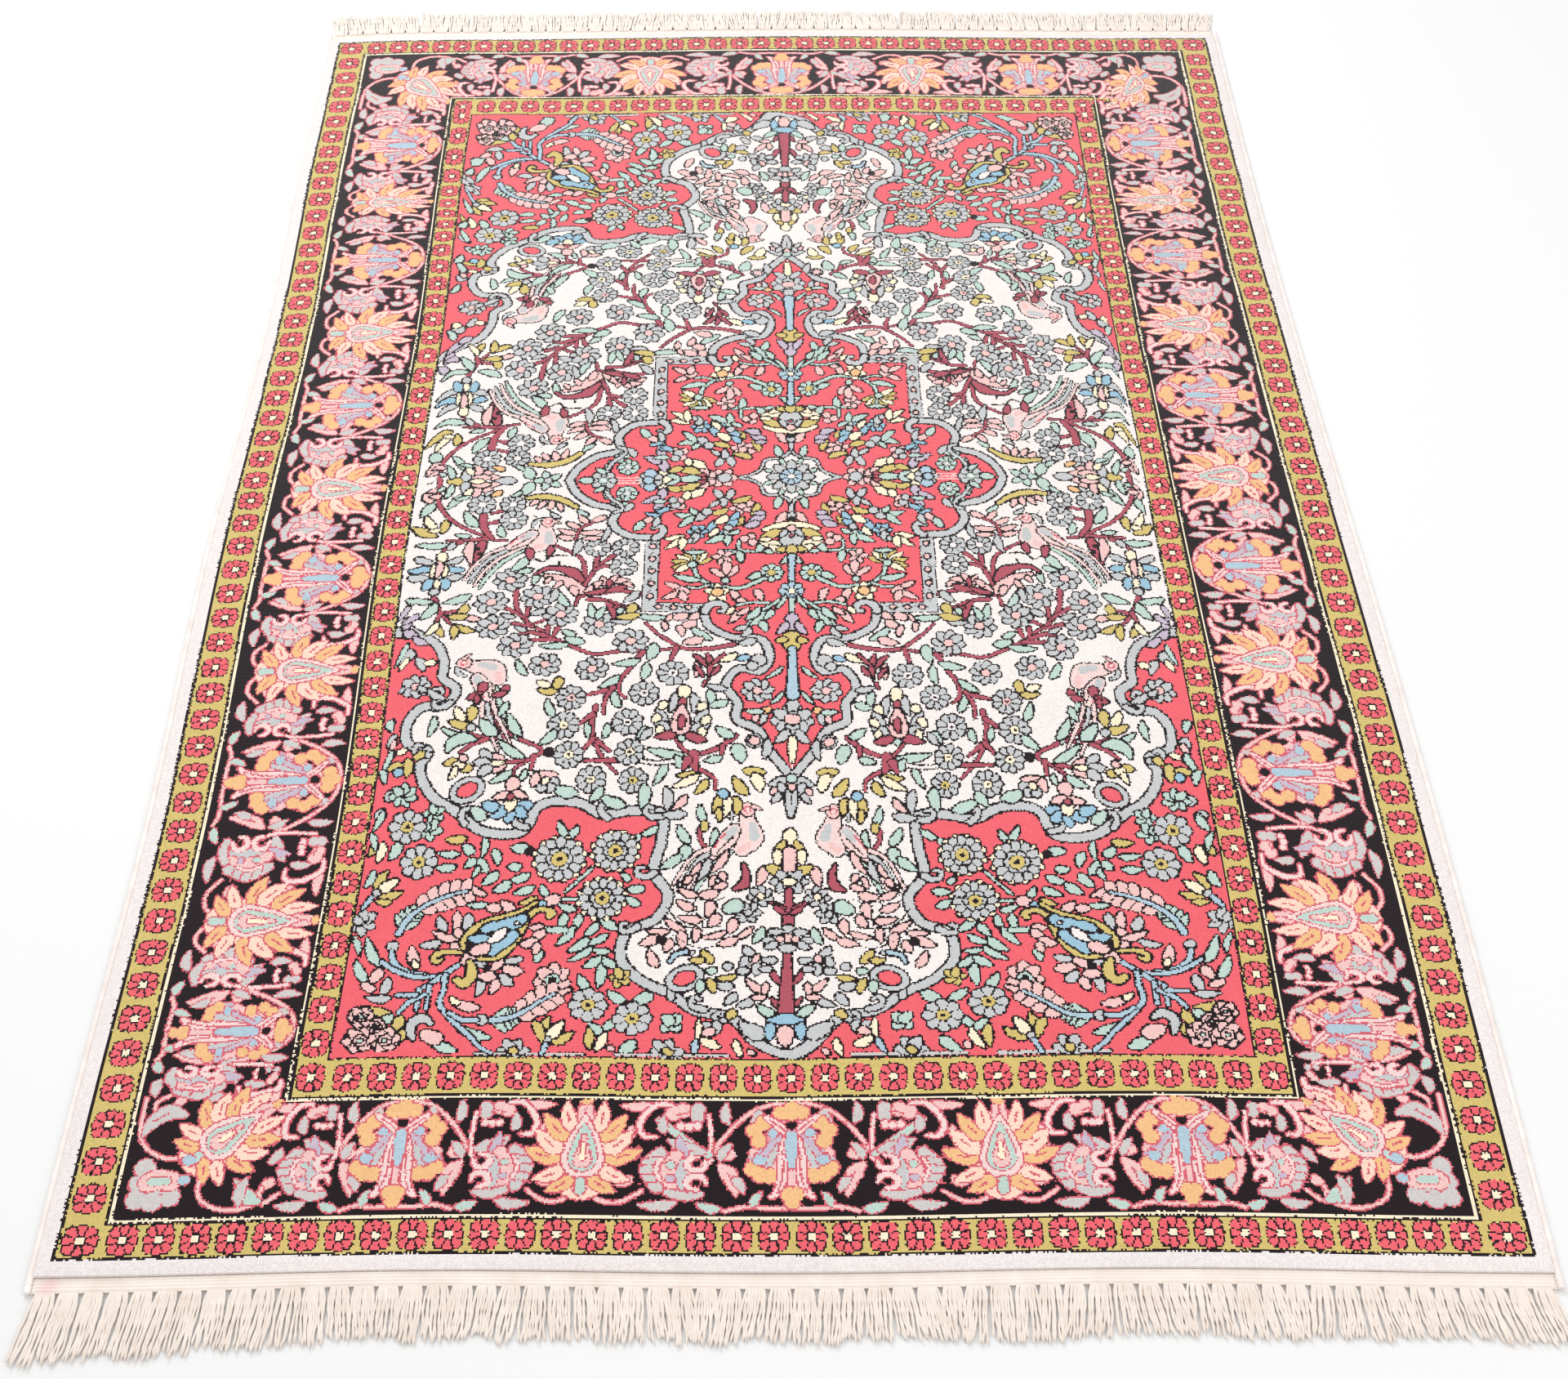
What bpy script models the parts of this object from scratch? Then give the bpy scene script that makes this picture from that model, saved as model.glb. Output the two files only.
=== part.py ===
"""Hand-knotted wool rug lying flat: the knotted cloth, its two side cords and its two fringed ends.

X runs across the rug, Y along it and Z up, in metres. The rug lies on z = 0, and the origin is under the
middle of its outer box.
"""

import math
import random

import bmesh
import bpy

# Driving sizes.
PATTERN_W = 1.180  # coloured pattern, from outer line to outer line
PATTERN_L = 1.770
SIDE_BAND = 0.012  # plain pile outside the pattern, at the sides
END_BAND = 0.012  # and at the ends
PILE_H = 0.007  # foundation and pile together
RIM_W = 0.005  # pile at the rug's edge leans out and down over this width
RIM_DROP = 0.0015
UNEVEN_H = 0.0004  # low swells in the pile
PARTING = 0.0003  # gap between neighbouring pieces

# How a hand-made rug lies: a little skew, with bowed ends and pulled-in sides.
SKEW = -0.0064
FAR_BOW = 0.009
FAR_LEAN = 0.005
FAR_RIPPLE = 0.0025
NEAR_BOW = 0.004
NEAR_RIPPLE = 0.002
LEFT_PULL = 0.005
LEFT_RIPPLE = 0.0028
RIGHT_WAVE = 0.0045

# Side cords and woven ends.
CORD_R = 0.0026
KILIM_D = 0.013  # depth of the flat-woven strip
KILIM_H = 0.0028
STRANDS = 140  # locks of warp on each end
LOCK_W = 0.0046  # a lock's width at its root
LEAN = 0.0075  # how far a lock's tip drifts sideways
LOCK_JITTER = 0.0009
CORNER_FAN = 0.010  # the fringe's outermost locks spread outwards
SEED = 11

# A lock from root to tip: share of its length, of its root's width and of the strip's height.
LOCK_SECTIONS = (
    {"reach": 0.18, "width": 1.00, "height": 0.92},
    {"reach": 0.60, "width": 0.92, "height": 0.80},
    {"reach": 1.00, "width": 0.55, "height": 0.50},
)

# The fringe at each end: which side along Y, its length, and how much longer it is at the left corner.
ENDS = (
    {"name": "fringe_near", "side": -1, "length": 0.049, "corner": 0.012},
    {"name": "fringe_far", "side": 1, "length": 0.052, "corner": 0.004},
)

COLUMNS = 24  # stations across and along, shared by neighbouring pieces so that they part evenly
ROWS = 34

HALF_W = PATTERN_W / 2 + SIDE_BAND
HALF_L = PATTERN_L / 2 + END_BAND
END_Y = HALF_L + PARTING + KILIM_D


def far_bow(u):
    """Rise of the far end's line at u, -1 at the left edge and 1 at the right."""
    return (1 - u**4) * (FAR_BOW - FAR_LEAN * u + FAR_RIPPLE * math.cos(2 * math.pi * (u - 0.1) / 1.2))


def near_bow(u):
    """Rise of the near end's line at u."""
    return (1 - u**4) * (NEAR_BOW + NEAR_RIPPLE * math.cos(2 * math.pi * (u - 0.5)))


def left_pull(v):
    """Shift of the left side at v, -1 at the near end and 1 at the far one."""
    return (1 - v**4) * (LEFT_PULL + LEFT_RIPPLE * math.cos(2 * math.pi * (v - 0.31) / 0.82))


def right_pull(v):
    """Shift of the right side at v."""
    return -RIGHT_WAVE * math.sin(math.pi * v)


def lay(x, y):
    """Where a point of the true rectangle lies on the floor."""
    u = max(-1.0, min(1.0, x / HALF_W))
    v = max(-1.0, min(1.0, y / HALF_L))
    to_right = (u + 1) / 2
    to_far = (v + 1) / 2
    dx = (1 - to_right) * left_pull(v) + to_right * right_pull(v)
    dy = (1 - to_far) * near_bow(u) + to_far * far_bow(u)
    return x + SKEW * y + dx, y + SKEW * x + dy


def stations(half, count):
    """Evenly spread places from -half to half, with the first and last RIM_W wide."""
    inner = half - RIM_W
    places = [-inner + 2 * inner * i / (count - 2) for i in range(count - 1)]
    return [-half] + places + [half]


def swell(x, y):
    """Low swells of the pile, in metres."""
    return UNEVEN_H * (math.sin(9.0 * x + 1.3) * math.cos(7.0 * y) + 0.6 * math.sin(4.0 * y + 11.0 * x))


def clear_scene():
    for old in list(bpy.data.objects):
        bpy.data.objects.remove(old, do_unlink=True)


def new_collection(name):
    collection = bpy.data.collections.new(name)
    bpy.context.scene.collection.children.link(collection)
    return collection


def make_material(name, color, roughness):
    material = bpy.data.materials.new(name)
    material.use_nodes = True
    shader = material.node_tree.nodes["Principled BSDF"]
    shader.inputs["Base Color"].default_value = (*color, 1.0)
    shader.inputs["Roughness"].default_value = roughness
    shader.inputs["Metallic"].default_value = 0.0
    return material


def add_mesh_object(name, bm, material, collection):
    bmesh.ops.recalc_face_normals(bm, faces=bm.faces[:])
    mesh = bpy.data.meshes.new(name)
    bm.to_mesh(mesh)
    bm.free()
    mesh.materials.append(material)
    piece = bpy.data.objects.new(name, mesh)
    collection.objects.link(piece)
    return piece


def make_body(collection):
    """The knotted cloth: a slab with a flat back and a low, swelling pile with a rounded rim."""
    xs = stations(HALF_W, COLUMNS)
    ys = stations(HALF_L, ROWS)
    bm = bmesh.new()
    bmesh.ops.create_grid(bm, x_segments=COLUMNS, y_segments=ROWS, size=1.0)
    for vert in bm.verts:
        column = round((vert.co.x + 1) / 2 * COLUMNS)
        row = round((vert.co.y + 1) / 2 * ROWS)
        on_rim = column in (0, COLUMNS) or row in (0, ROWS)
        x, y = lay(xs[column], ys[row])
        vert.co = (x, y, PILE_H + swell(x, y) - (RIM_DROP if on_rim else 0.0))
    top = bm.faces[:]
    lower = bmesh.ops.extrude_face_region(bm, geom=top, use_keep_orig=True)["geom"]
    for vert in (item for item in lower if isinstance(item, bmesh.types.BMVert)):
        vert.co.z = 0.0
    back = [item for item in lower if isinstance(item, bmesh.types.BMFace)]
    bmesh.ops.dissolve_faces(bm, faces=back, use_verts=False)
    wool = make_material("wool_pile", (0.62, 0.40, 0.38), 0.95)
    return add_mesh_object("rug_body", bm, wool, collection)


def make_selvedge(name, side, collection):
    """A side cord lying on the floor along the rug's edge, ended level with the woven strips."""
    inner = stations(HALF_L, ROWS)
    ys = [-END_Y] + inner + [END_Y]
    curve = bpy.data.curves.new(name, "CURVE")
    curve.dimensions = "3D"
    curve.bevel_depth = CORD_R
    curve.bevel_resolution = 2
    curve.use_fill_caps = True
    spline = curve.splines.new("POLY")
    spline.points.add(len(ys) - 1)
    for point, y in zip(spline.points, ys):
        px, py = lay(side * (HALF_W + PARTING + CORD_R), y)
        point.co = (px, py, CORD_R, 1.0)
    guide = bpy.data.objects.new(name + "_guide", curve)
    collection.objects.link(guide)
    evaluated = guide.evaluated_get(bpy.context.evaluated_depsgraph_get())
    mesh = bpy.data.meshes.new_from_object(evaluated)
    bm = bmesh.new()
    bm.from_mesh(mesh)
    bpy.data.objects.remove(guide, do_unlink=True)
    bpy.data.meshes.remove(mesh)
    bmesh.ops.remove_doubles(bm, verts=bm.verts[:], dist=0.00005)
    yarn = make_material(name + "_yarn", (0.80, 0.72, 0.66), 0.9)
    return add_mesh_object(name, bm, yarn, collection)


def strip_outline(end, roots):
    """Plan outline of a woven strip: its back edge, then its front edge with two points a lock."""
    back_y = end["side"] * (HALF_L + PARTING)
    front_y = end["side"] * END_Y
    back = [(x, back_y) for x in stations(HALF_W, COLUMNS)]
    front = [(-HALF_W, front_y)]
    for x in roots:
        front.append((x - LOCK_W / 2, front_y))
        front.append((x + LOCK_W / 2, front_y))
    front.append((HALF_W, front_y))
    return [lay(x, y) for x, y in back] + [lay(x, y) for x, y in reversed(front)]


def strip_mesh(name, outline, collection):
    """The strip as a flat outline with the strip's thickness, its underside on the floor."""
    curve = bpy.data.curves.new(name, "CURVE")
    curve.dimensions = "2D"
    curve.fill_mode = "BOTH"
    curve.extrude = KILIM_H / 2
    spline = curve.splines.new("POLY")
    spline.points.add(len(outline) - 1)
    for point, (x, y) in zip(spline.points, outline):
        point.co = (x, y, 0.0, 1.0)
    spline.use_cyclic_u = True
    guide = bpy.data.objects.new(name + "_guide", curve)
    collection.objects.link(guide)
    evaluated = guide.evaluated_get(bpy.context.evaluated_depsgraph_get())
    mesh = bpy.data.meshes.new_from_object(evaluated)
    bm = bmesh.new()
    bm.from_mesh(mesh)
    bpy.data.objects.remove(guide, do_unlink=True)
    bpy.data.meshes.remove(mesh)
    bmesh.ops.remove_doubles(bm, verts=bm.verts[:], dist=0.00005)
    bmesh.ops.translate(bm, verts=bm.verts[:], vec=(0.0, 0.0, KILIM_H / 2))
    bmesh.ops.recalc_face_normals(bm, faces=bm.faces[:])
    return bm


def root_faces(bm, end, roots):
    """The strip's front face under each lock, in the order of the roots."""
    places = [lay(x, end["side"] * END_Y) for x in roots]
    least_area = 0.5 * LOCK_W * KILIM_H
    found = {}
    for face in bm.faces:
        if abs(face.normal.z) > 0.1 or face.calc_area() < least_area:
            continue
        middle = face.calc_center_median().xy
        distances = [math.dist(middle, place) for place in places]
        nearest = distances.index(min(distances))
        if distances[nearest] < 0.1 * LOCK_W:
            found[nearest] = face
    return [found[i] for i in range(STRANDS)]


def grow_locks(bm, end, roots):
    """Draws each lock out of its root face, section by section, with its underside on the floor."""
    rng = random.Random(SEED + end["side"])
    faces = root_faces(bm, end, roots)
    leans = []
    lengths = []
    for x in roots:
        u = x / HALF_W
        to_left = max(0.0, -u - 0.5) * 2
        drift = LEAN * (math.sin(17.0 * x + end["side"]) + 0.5 * math.sin(41.0 * x))
        lean = drift * (1 - abs(u) ** 3) + CORNER_FAN * u**5
        leans.append(lean + rng.uniform(-LOCK_JITTER, LOCK_JITTER))
        lengths.append((end["length"] + end["corner"] * to_left) * rng.uniform(0.88, 1.06))
    for section in LOCK_SECTIONS:
        faces = bmesh.ops.extrude_discrete_faces(bm, faces=faces)["faces"]
        faces.sort(key=lambda face: face.calc_center_median().x)
        for face, x, lean, length in zip(faces, roots, leans, lengths):
            y = end["side"] * (END_Y + length * section["reach"])
            middle_x = x + lean * section["reach"] ** 1.5
            middle = face.calc_center_median()
            for vert in face.verts:
                to_side = math.copysign(LOCK_W / 2 * section["width"], vert.co.x - middle.x)
                height = KILIM_H * section["height"] if vert.co.z > middle.z else 0.0
                px, py = lay(middle_x + to_side, y)
                vert.co = (px, py, height)


def make_fringed_end(end, collection):
    """The flat-woven strip past the pile, with the warp fringe that hangs on from it."""
    spacing = 2 * HALF_W / STRANDS
    roots = [-HALF_W + spacing * (i + 0.5) for i in range(STRANDS)]
    bm = strip_mesh(end["name"], strip_outline(end, roots), collection)
    grow_locks(bm, end, roots)
    cotton = make_material(end["name"] + "_cotton", (0.78, 0.70, 0.62), 0.9)
    return add_mesh_object(end["name"], bm, cotton, collection)


def centre_pieces(pieces):
    """Moves every piece so that the origin is under the middle of their common box."""
    xs = [vert.co.x for piece in pieces for vert in piece.data.vertices]
    ys = [vert.co.y for piece in pieces for vert in piece.data.vertices]
    middle_x = (min(xs) + max(xs)) / 2
    middle_y = (min(ys) + max(ys)) / 2
    for piece in pieces:
        piece.location.x -= middle_x
        piece.location.y -= middle_y


def main():
    clear_scene()
    collection = new_collection("hand_knotted_wool_rug")
    pieces = [make_body(collection)]
    pieces.append(make_selvedge("selvedge_left", -1, collection))
    pieces.append(make_selvedge("selvedge_right", 1, collection))
    for end in ENDS:
        pieces.append(make_fringed_end(end, collection))
    centre_pieces(pieces)


main()
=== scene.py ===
"""Looks of the hand-knotted wool rug: knotted pile, corded sides, woven ends and fringe."""

import bpy
import numpy as np
from mathutils import Matrix, Vector


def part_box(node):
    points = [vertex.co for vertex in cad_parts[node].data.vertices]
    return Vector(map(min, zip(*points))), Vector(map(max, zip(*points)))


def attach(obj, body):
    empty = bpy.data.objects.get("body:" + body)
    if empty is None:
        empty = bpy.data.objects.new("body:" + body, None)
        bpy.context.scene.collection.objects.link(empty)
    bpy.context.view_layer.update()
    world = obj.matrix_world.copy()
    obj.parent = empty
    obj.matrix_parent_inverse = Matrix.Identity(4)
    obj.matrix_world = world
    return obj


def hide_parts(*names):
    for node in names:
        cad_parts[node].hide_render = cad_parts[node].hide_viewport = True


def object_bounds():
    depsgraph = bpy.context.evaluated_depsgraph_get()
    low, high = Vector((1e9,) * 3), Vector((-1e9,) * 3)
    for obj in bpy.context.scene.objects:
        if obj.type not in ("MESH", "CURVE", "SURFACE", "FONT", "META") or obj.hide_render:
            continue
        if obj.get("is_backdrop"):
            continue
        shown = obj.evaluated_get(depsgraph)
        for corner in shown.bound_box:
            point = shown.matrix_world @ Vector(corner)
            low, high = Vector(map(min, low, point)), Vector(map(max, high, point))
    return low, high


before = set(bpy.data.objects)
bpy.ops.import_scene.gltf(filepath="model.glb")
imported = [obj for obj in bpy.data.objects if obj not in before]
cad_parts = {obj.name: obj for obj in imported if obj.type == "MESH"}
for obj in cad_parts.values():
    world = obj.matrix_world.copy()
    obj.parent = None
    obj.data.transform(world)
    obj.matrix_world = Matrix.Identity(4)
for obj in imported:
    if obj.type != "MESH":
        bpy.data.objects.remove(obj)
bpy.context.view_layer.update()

# ---- The knot chart ----------------------------------------------------------------
# A knotter works from a chart on squared paper that gives every knot's colour. It shows one quarter of the
# rug, from the middle outwards, and the other quarters mirror it. Two cells make a millimetre, and places
# are millimetres right and out from the middle.
DYE_COUNT = 18
(BLACK, IVORY, CORAL, GOLD, CREAM, GREY, MINT, BLUE, PINK, WINE,
 ORANGE, ROSE, BAND, SKY, PEACH, LILAC, BLUSH, SMOKE) = range(DYE_COUNT)
CELLS_A_MM = 2
CHART_W, CHART_L = 608, 904
chart = np.full((CHART_L * CELLS_A_MM, CHART_W * CELLS_A_MM), BAND, np.uint8)


def cells(spot, reach):
    """The window of the chart within reach of a point, and each of its cells' offset from that point."""
    cols, rows = [slice(max(0, int((at - reach) * CELLS_A_MM)), max(0, int((at + reach) * CELLS_A_MM) + 1))
                  for at in (spot.real, spot.imag)]
    window = chart[rows, cols]
    x = (cols.start + 0.5 + np.arange(window.shape[1])) / CELLS_A_MM - spot.real
    y = (rows.start + 0.5 + np.arange(window.shape[0])) / CELLS_A_MM - spot.imag
    return window, x[None, :] + 1j * y[:, None]


# ---- Frames and guards -------------------------------------------------------------
# Plain lines of knots part the field, the main border and the two guards. The frames are painted one over
# the other, outermost first, each with its half-width, half-length and colour. The guards are gold stripes
# with a row of small coral rosettes, counted out from the middle of each side.
FIELD_W, FIELD_L = 394, 705
FRAMES = ((589.5, 885, BLACK), (586.5, 883, GOLD), (553.5, 855.5, BLACK), (551.2, 853.8, CREAM),
          (548.5, 851, BLACK), (425.9, 745.5, CREAM), (423, 743, BLACK), (420.5, 741, GOLD),
          (396, 706.5, BLACK), (FIELD_W, FIELD_L, CORAL))
for half_w, half_l, shade in FRAMES:
    chart[:int(half_l * CELLS_A_MM), :int(half_w * CELLS_A_MM)] = shade
GUARD_LINE_X, GUARD_LINE_Y = 423, 742.5
chart[:int(GUARD_LINE_Y * CELLS_A_MM) + 1,
      GUARD_LINE_X * CELLS_A_MM:(GUARD_LINE_X + 1) * CELLS_A_MM] = BLACK
chart[int(GUARD_LINE_Y * CELLS_A_MM):int(GUARD_LINE_Y * CELLS_A_MM) + 2,
      :(GUARD_LINE_X + 1) * CELLS_A_MM] = BLACK


def guard_rose(x, y, rx, ry):
    """Eight coral petals, heart-notched, round a small cream square: the rim is a soft-cornered oblong, cut
    in between the petals and once in the middle of each."""
    window, z = cells(complex(x, y), max(rx, ry) + 3)
    turn = np.angle(z)
    z = z.real / rx + 1j * z.imag / ry
    far = (np.abs(z.real) ** 3 + np.abs(z.imag) ** 3) ** (1 / 3)
    wave = np.abs(np.cos(4 * turn))
    rim = 1 - 0.16 * (1 - wave ** 0.6) - 0.07 * np.clip(1 - np.abs(np.sin(4 * turn)) * 3, 0, 1)
    window[far < rim + 0.1] = BLACK
    window[far < rim] = CORAL
    window[(far < rim) & (wave * far < 0.2) & (far > 0.3)] = BLACK
    window[far < 0.36] = BLACK
    window[np.maximum(abs(z.real), abs(z.imag)) < 0.25] = CREAM


def guard(along_x, count, pitch, fixed, rx, ry, start):
    """A row of rosettes out from the middle, along an end or a side."""
    for k in range(count):
        run = start + k * pitch
        guard_rose(*((run, fixed) if along_x else (fixed, run)), rx, ry)


guard(True, 19, 29.0, 868.5, 11.8, 13.0, 15)
guard(False, 25, 34.0, 570.3, 13.0, 12.8, 16)
guard_rose(570.5, 868.5, 14, 13)
guard(True, 14, 29.0, 724.0, 11.4, 13.0, 0)
guard(False, 21, 33.8, 408.3, 11.0, 13.0, 15)
guard_rose(407.5, 724.0, 11.4, 13.2)


# ---- Main border -------------------------------------------------------------------
# The widest stripe is knotted on a black ground. Fan flowers and lotuses stand in turn along it, and between
# them a spray of vine, leaves and a scrolled cone flower is squeezed or stretched to fill the room. All of
# it is outlined in rose, and a slanting lotus turns the corner.
frames = chart.copy()
OUTLINE = 1.15  # how many times its drawn width an outline is knotted


def xy(*flat):
    """Pair up x, y, x, y ... in millimetres as complex points."""
    return np.array(flat[0::2]) + 1j * np.array(flat[1::2])


def smooth(points, values, step=0.8):
    """Run a smooth cubic through the points, with the values carried along it: each stretch is a Hermite
    curve between two points, with the slopes that their neighbours give."""
    points = np.asarray(points, complex)
    values = np.interp(np.linspace(0, 1, len(points)), np.linspace(0, 1, len(values)), values)
    run = np.concatenate([[0], np.cumsum(np.abs(np.diff(points)) + 1e-6)])
    slopes = np.gradient(points, run)
    s = np.linspace(0, run[-1], max(2, int(run[-1] / step) + 1))
    i = np.clip(np.searchsorted(run, s, "right") - 1, 0, len(run) - 2)
    h = run[i + 1] - run[i]
    t = (s - run[i]) / h
    spots = ((1 + 2 * t) * (1 - t) ** 2 * points[i] + t * (1 - t) ** 2 * h * slopes[i]
             + t * t * (3 - 2 * t) * points[i + 1] + t * t * (t - 1) * h * slopes[i + 1])
    return spots, np.interp(s, run, values)


def field(point):
    """The chart's own millimetres: right and out from the rug's middle."""
    return point


def placed(spot, turn=0.0, scale=1.0):
    """A motif's own millimetres on the chart: turned by degrees, scaled, then set at a spot."""
    spin = scale * np.exp(1j * np.radians(turn))
    return lambda point: spot + spin * point


def brush(here, points, half, fill, line=BLACK, edge=1.3):
    """Paint a smooth stroke whose half-width runs through the given values: round dabs close together, in
    the outline's colour first and then in the fill."""
    spots, radii = smooth(here(np.asarray(points, complex)), half)
    for grow, shade in ((edge * OUTLINE, line), (0.0, fill)):
        if shade is None:
            continue
        for spot, radius in zip(spots, radii):
            window, z = cells(spot, radius + grow)
            window[np.abs(z) < radius + grow] = shade


def leaf(here, root, tip, wide, fill, line=BLACK, bow=0.12, vein=None, edge=1.3):
    """A leaf or petal from root to tip: a stroke that is widest a third of the way along, bowed to one side
    by a share of its length, with a vein if one is named."""
    run = tip - root
    points = root + run * (np.array([0.0, 0.3, 0.65, 1.0]) + 1j * bow * np.array([0, 1, 0.9, 0]))
    brush(here, points, wide / 2 * np.array([0.3, 1.0, 0.8, 0.12]), fill, line, edge)
    if vein is not None:
        brush(here, points[1:3], [0.8], vein, None)


def spot(here, at, rx, ry, turn, fill, line=BLACK, edge=1.3):
    """An oval of two half-axes, turned: the cells nearer its middle than the ellipse's polar radius."""
    centre = here(np.array([at + 0j, at + np.exp(1j * np.radians(turn))]))
    spin = centre[1] - centre[0]
    window, z = cells(centre[0], max(rx, ry) * abs(spin) + 2 * edge + 1)
    z = z / spin
    far = np.abs(z)
    angle = np.angle(z)
    rim = rx * ry / np.hypot(ry * np.cos(angle), rx * np.sin(angle))
    if line is not None:
        window[far < rim + edge * OUTLINE] = line
    window[far < rim] = fill


def on_side(y, squeeze=1.0):
    """Motif millimetres (along, outwards) laid on the side border at a height y."""
    return lambda p: 487 + p.imag + 1j * (y + squeeze * p.real)


def on_end(x, squeeze=1.0):
    """The same on the end border at a distance x from the middle: that border is narrower."""
    return lambda p: x + squeeze * p.real + 1j * (798 + 0.88 * p.imag)


def flip(here):
    """The motif's other half, mirrored along the border."""
    return lambda p: here(-np.conj(p))


def lobes(here, shade, reach, *flat):
    """Round lobes run together inside one outline: x, y pairs."""
    for grow, tone in ((1.3, ROSE), (0, shade)):
        for at in xy(*flat):
            spot(here, at, reach + grow, reach + grow, 0, tone, None)


def fan(here):
    """A fan flower: gold buds, pale arms and long petals, lilac wings with blue hearts, a blue core."""
    brush(here, xy(0, -30, 0, -10, 0, 14), [12, 24, 15], PINK, ROSE)
    for half in (here, flip(here)):
        brush(half, xy(12, -22, 20, -10, 27, 4), [4, 8, 8.5], LILAC, ROSE)
        brush(half, xy(14, -28, 22, -18, 33, -4), [2.4, 3, 2.4], PINK, ROSE, 0.8)
        brush(half, xy(10, -12, 16, 0, 20, 12), [2.2, 3, 2.2], GREY, ROSE, 0.8)
        lobes(half, ORANGE, 6.6, 24, -36, 31, -28, 27, -17)
        lobes(half, ORANGE, 6.6, 18, 19, 26, 18, 32, 12)
        spot(half, 15 - 25j, 4.6, 4.2, 20, SKY, ROSE, 0.8)
        spot(half, 26 + 3j, 5.6, 4.4, 0, SKY, ROSE, 0.8)
        brush(half, xy(3, -24, 9, -31, 21, -42), [2.4, 3.4, 2], BLUSH, ROSE)
        brush(half, xy(5, -27, 11, -33, 18, -39), [0.8], ROSE, None)
        brush(half, xy(6, -18, 8, 2, 8, 20, 11, 34, 17, 41), [2, 3.4, 3.6, 3.4, 1.6], BLUSH, ROSE)
        brush(half, xy(7, -6, 8, 22, 12, 36), [0.8], ROSE, None)
        brush(half, xy(19, -14, 27, -2), [0.8], ROSE, None)
    brush(here, xy(0, 14, 0, 30), [2.4], PINK, ROSE, 0.8)
    brush(here, xy(0, -23, 0, -10, 0, 8), [4.6, 5, 3], SKY, ROSE)
    spot(here, -34j, 4.6, 4.6, 0, BLACK, ROSE)
    lobes(here, ORANGE, 6.4, -9, -47, 9, -47, 0, -52, 0, -46)
    lobes(here, ORANGE, 6.2, -3, 38, 3, 38, 0, 46)


def lotus(here):
    """A lotus: peach and orange petals spread from a mint foot round a ringed, pointed core."""
    brush(here, xy(0, -44, 0, -14, 0, 20), [5, 26, 22], PEACH, ROSE)
    for half in (here, flip(here)):
        for root, tip, wide, shade in ((7 + 22j, 28 + 37j, 12, ORANGE), (15 + 14j, 39 + 25j, 12, PEACH),
                                       (18 + 4j, 47 - 6j, 14, ORANGE), (17 - 4j, 39 - 25j, 15, PEACH),
                                       (12 - 16j, 33 - 42j, 14, ORANGE), (9 - 24j, 15 - 56j, 12, PEACH)):
            leaf(half, root, tip, wide, shade, ROSE, 0.06, ROSE, 1.1)
    leaf(here, -32j, -60j, 13, PINK, ROSE, 0.0, ROSE, 1.1)
    spot(here, -57j, 5, 3.6, 0, ORANGE, ROSE, 0.8)
    brush(here, xy(0, -40, 0, -12, 0, 4), [1.5, 13, 17], BLUSH, ROSE)
    brush(here, xy(0, -32, 0, -12, 0, 3), [1.5, 8.5, 12], MINT, ROSE, 0.9)
    brush(here, xy(0, -20, 0, -6, 0, 5), [1.6, 4, 7], PINK, ROSE, 0.9)
    brush(here, xy(0, -12, 0, 2), [1.2, 2.6], CREAM, ROSE, 0.9)
    brush(here, xy(0, 27, 0, 35), [3.6, 4.6], MINT, ROSE)


def curl(here, x, y, side):
    """A small white spiral round a black eye."""
    brush(here, complex(x, y) + 7.2 * np.exp(1j * side * np.radians((-100, -40, 20, 80, 140, 190))),
          [1.4, 2.2, 2.6, 2.4, 2, 1.2], BLUSH, ROSE, 0.9)
    spot(here, complex(x, y), 3, 2.6, 0, BLACK, ROSE, 0.7)


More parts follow.
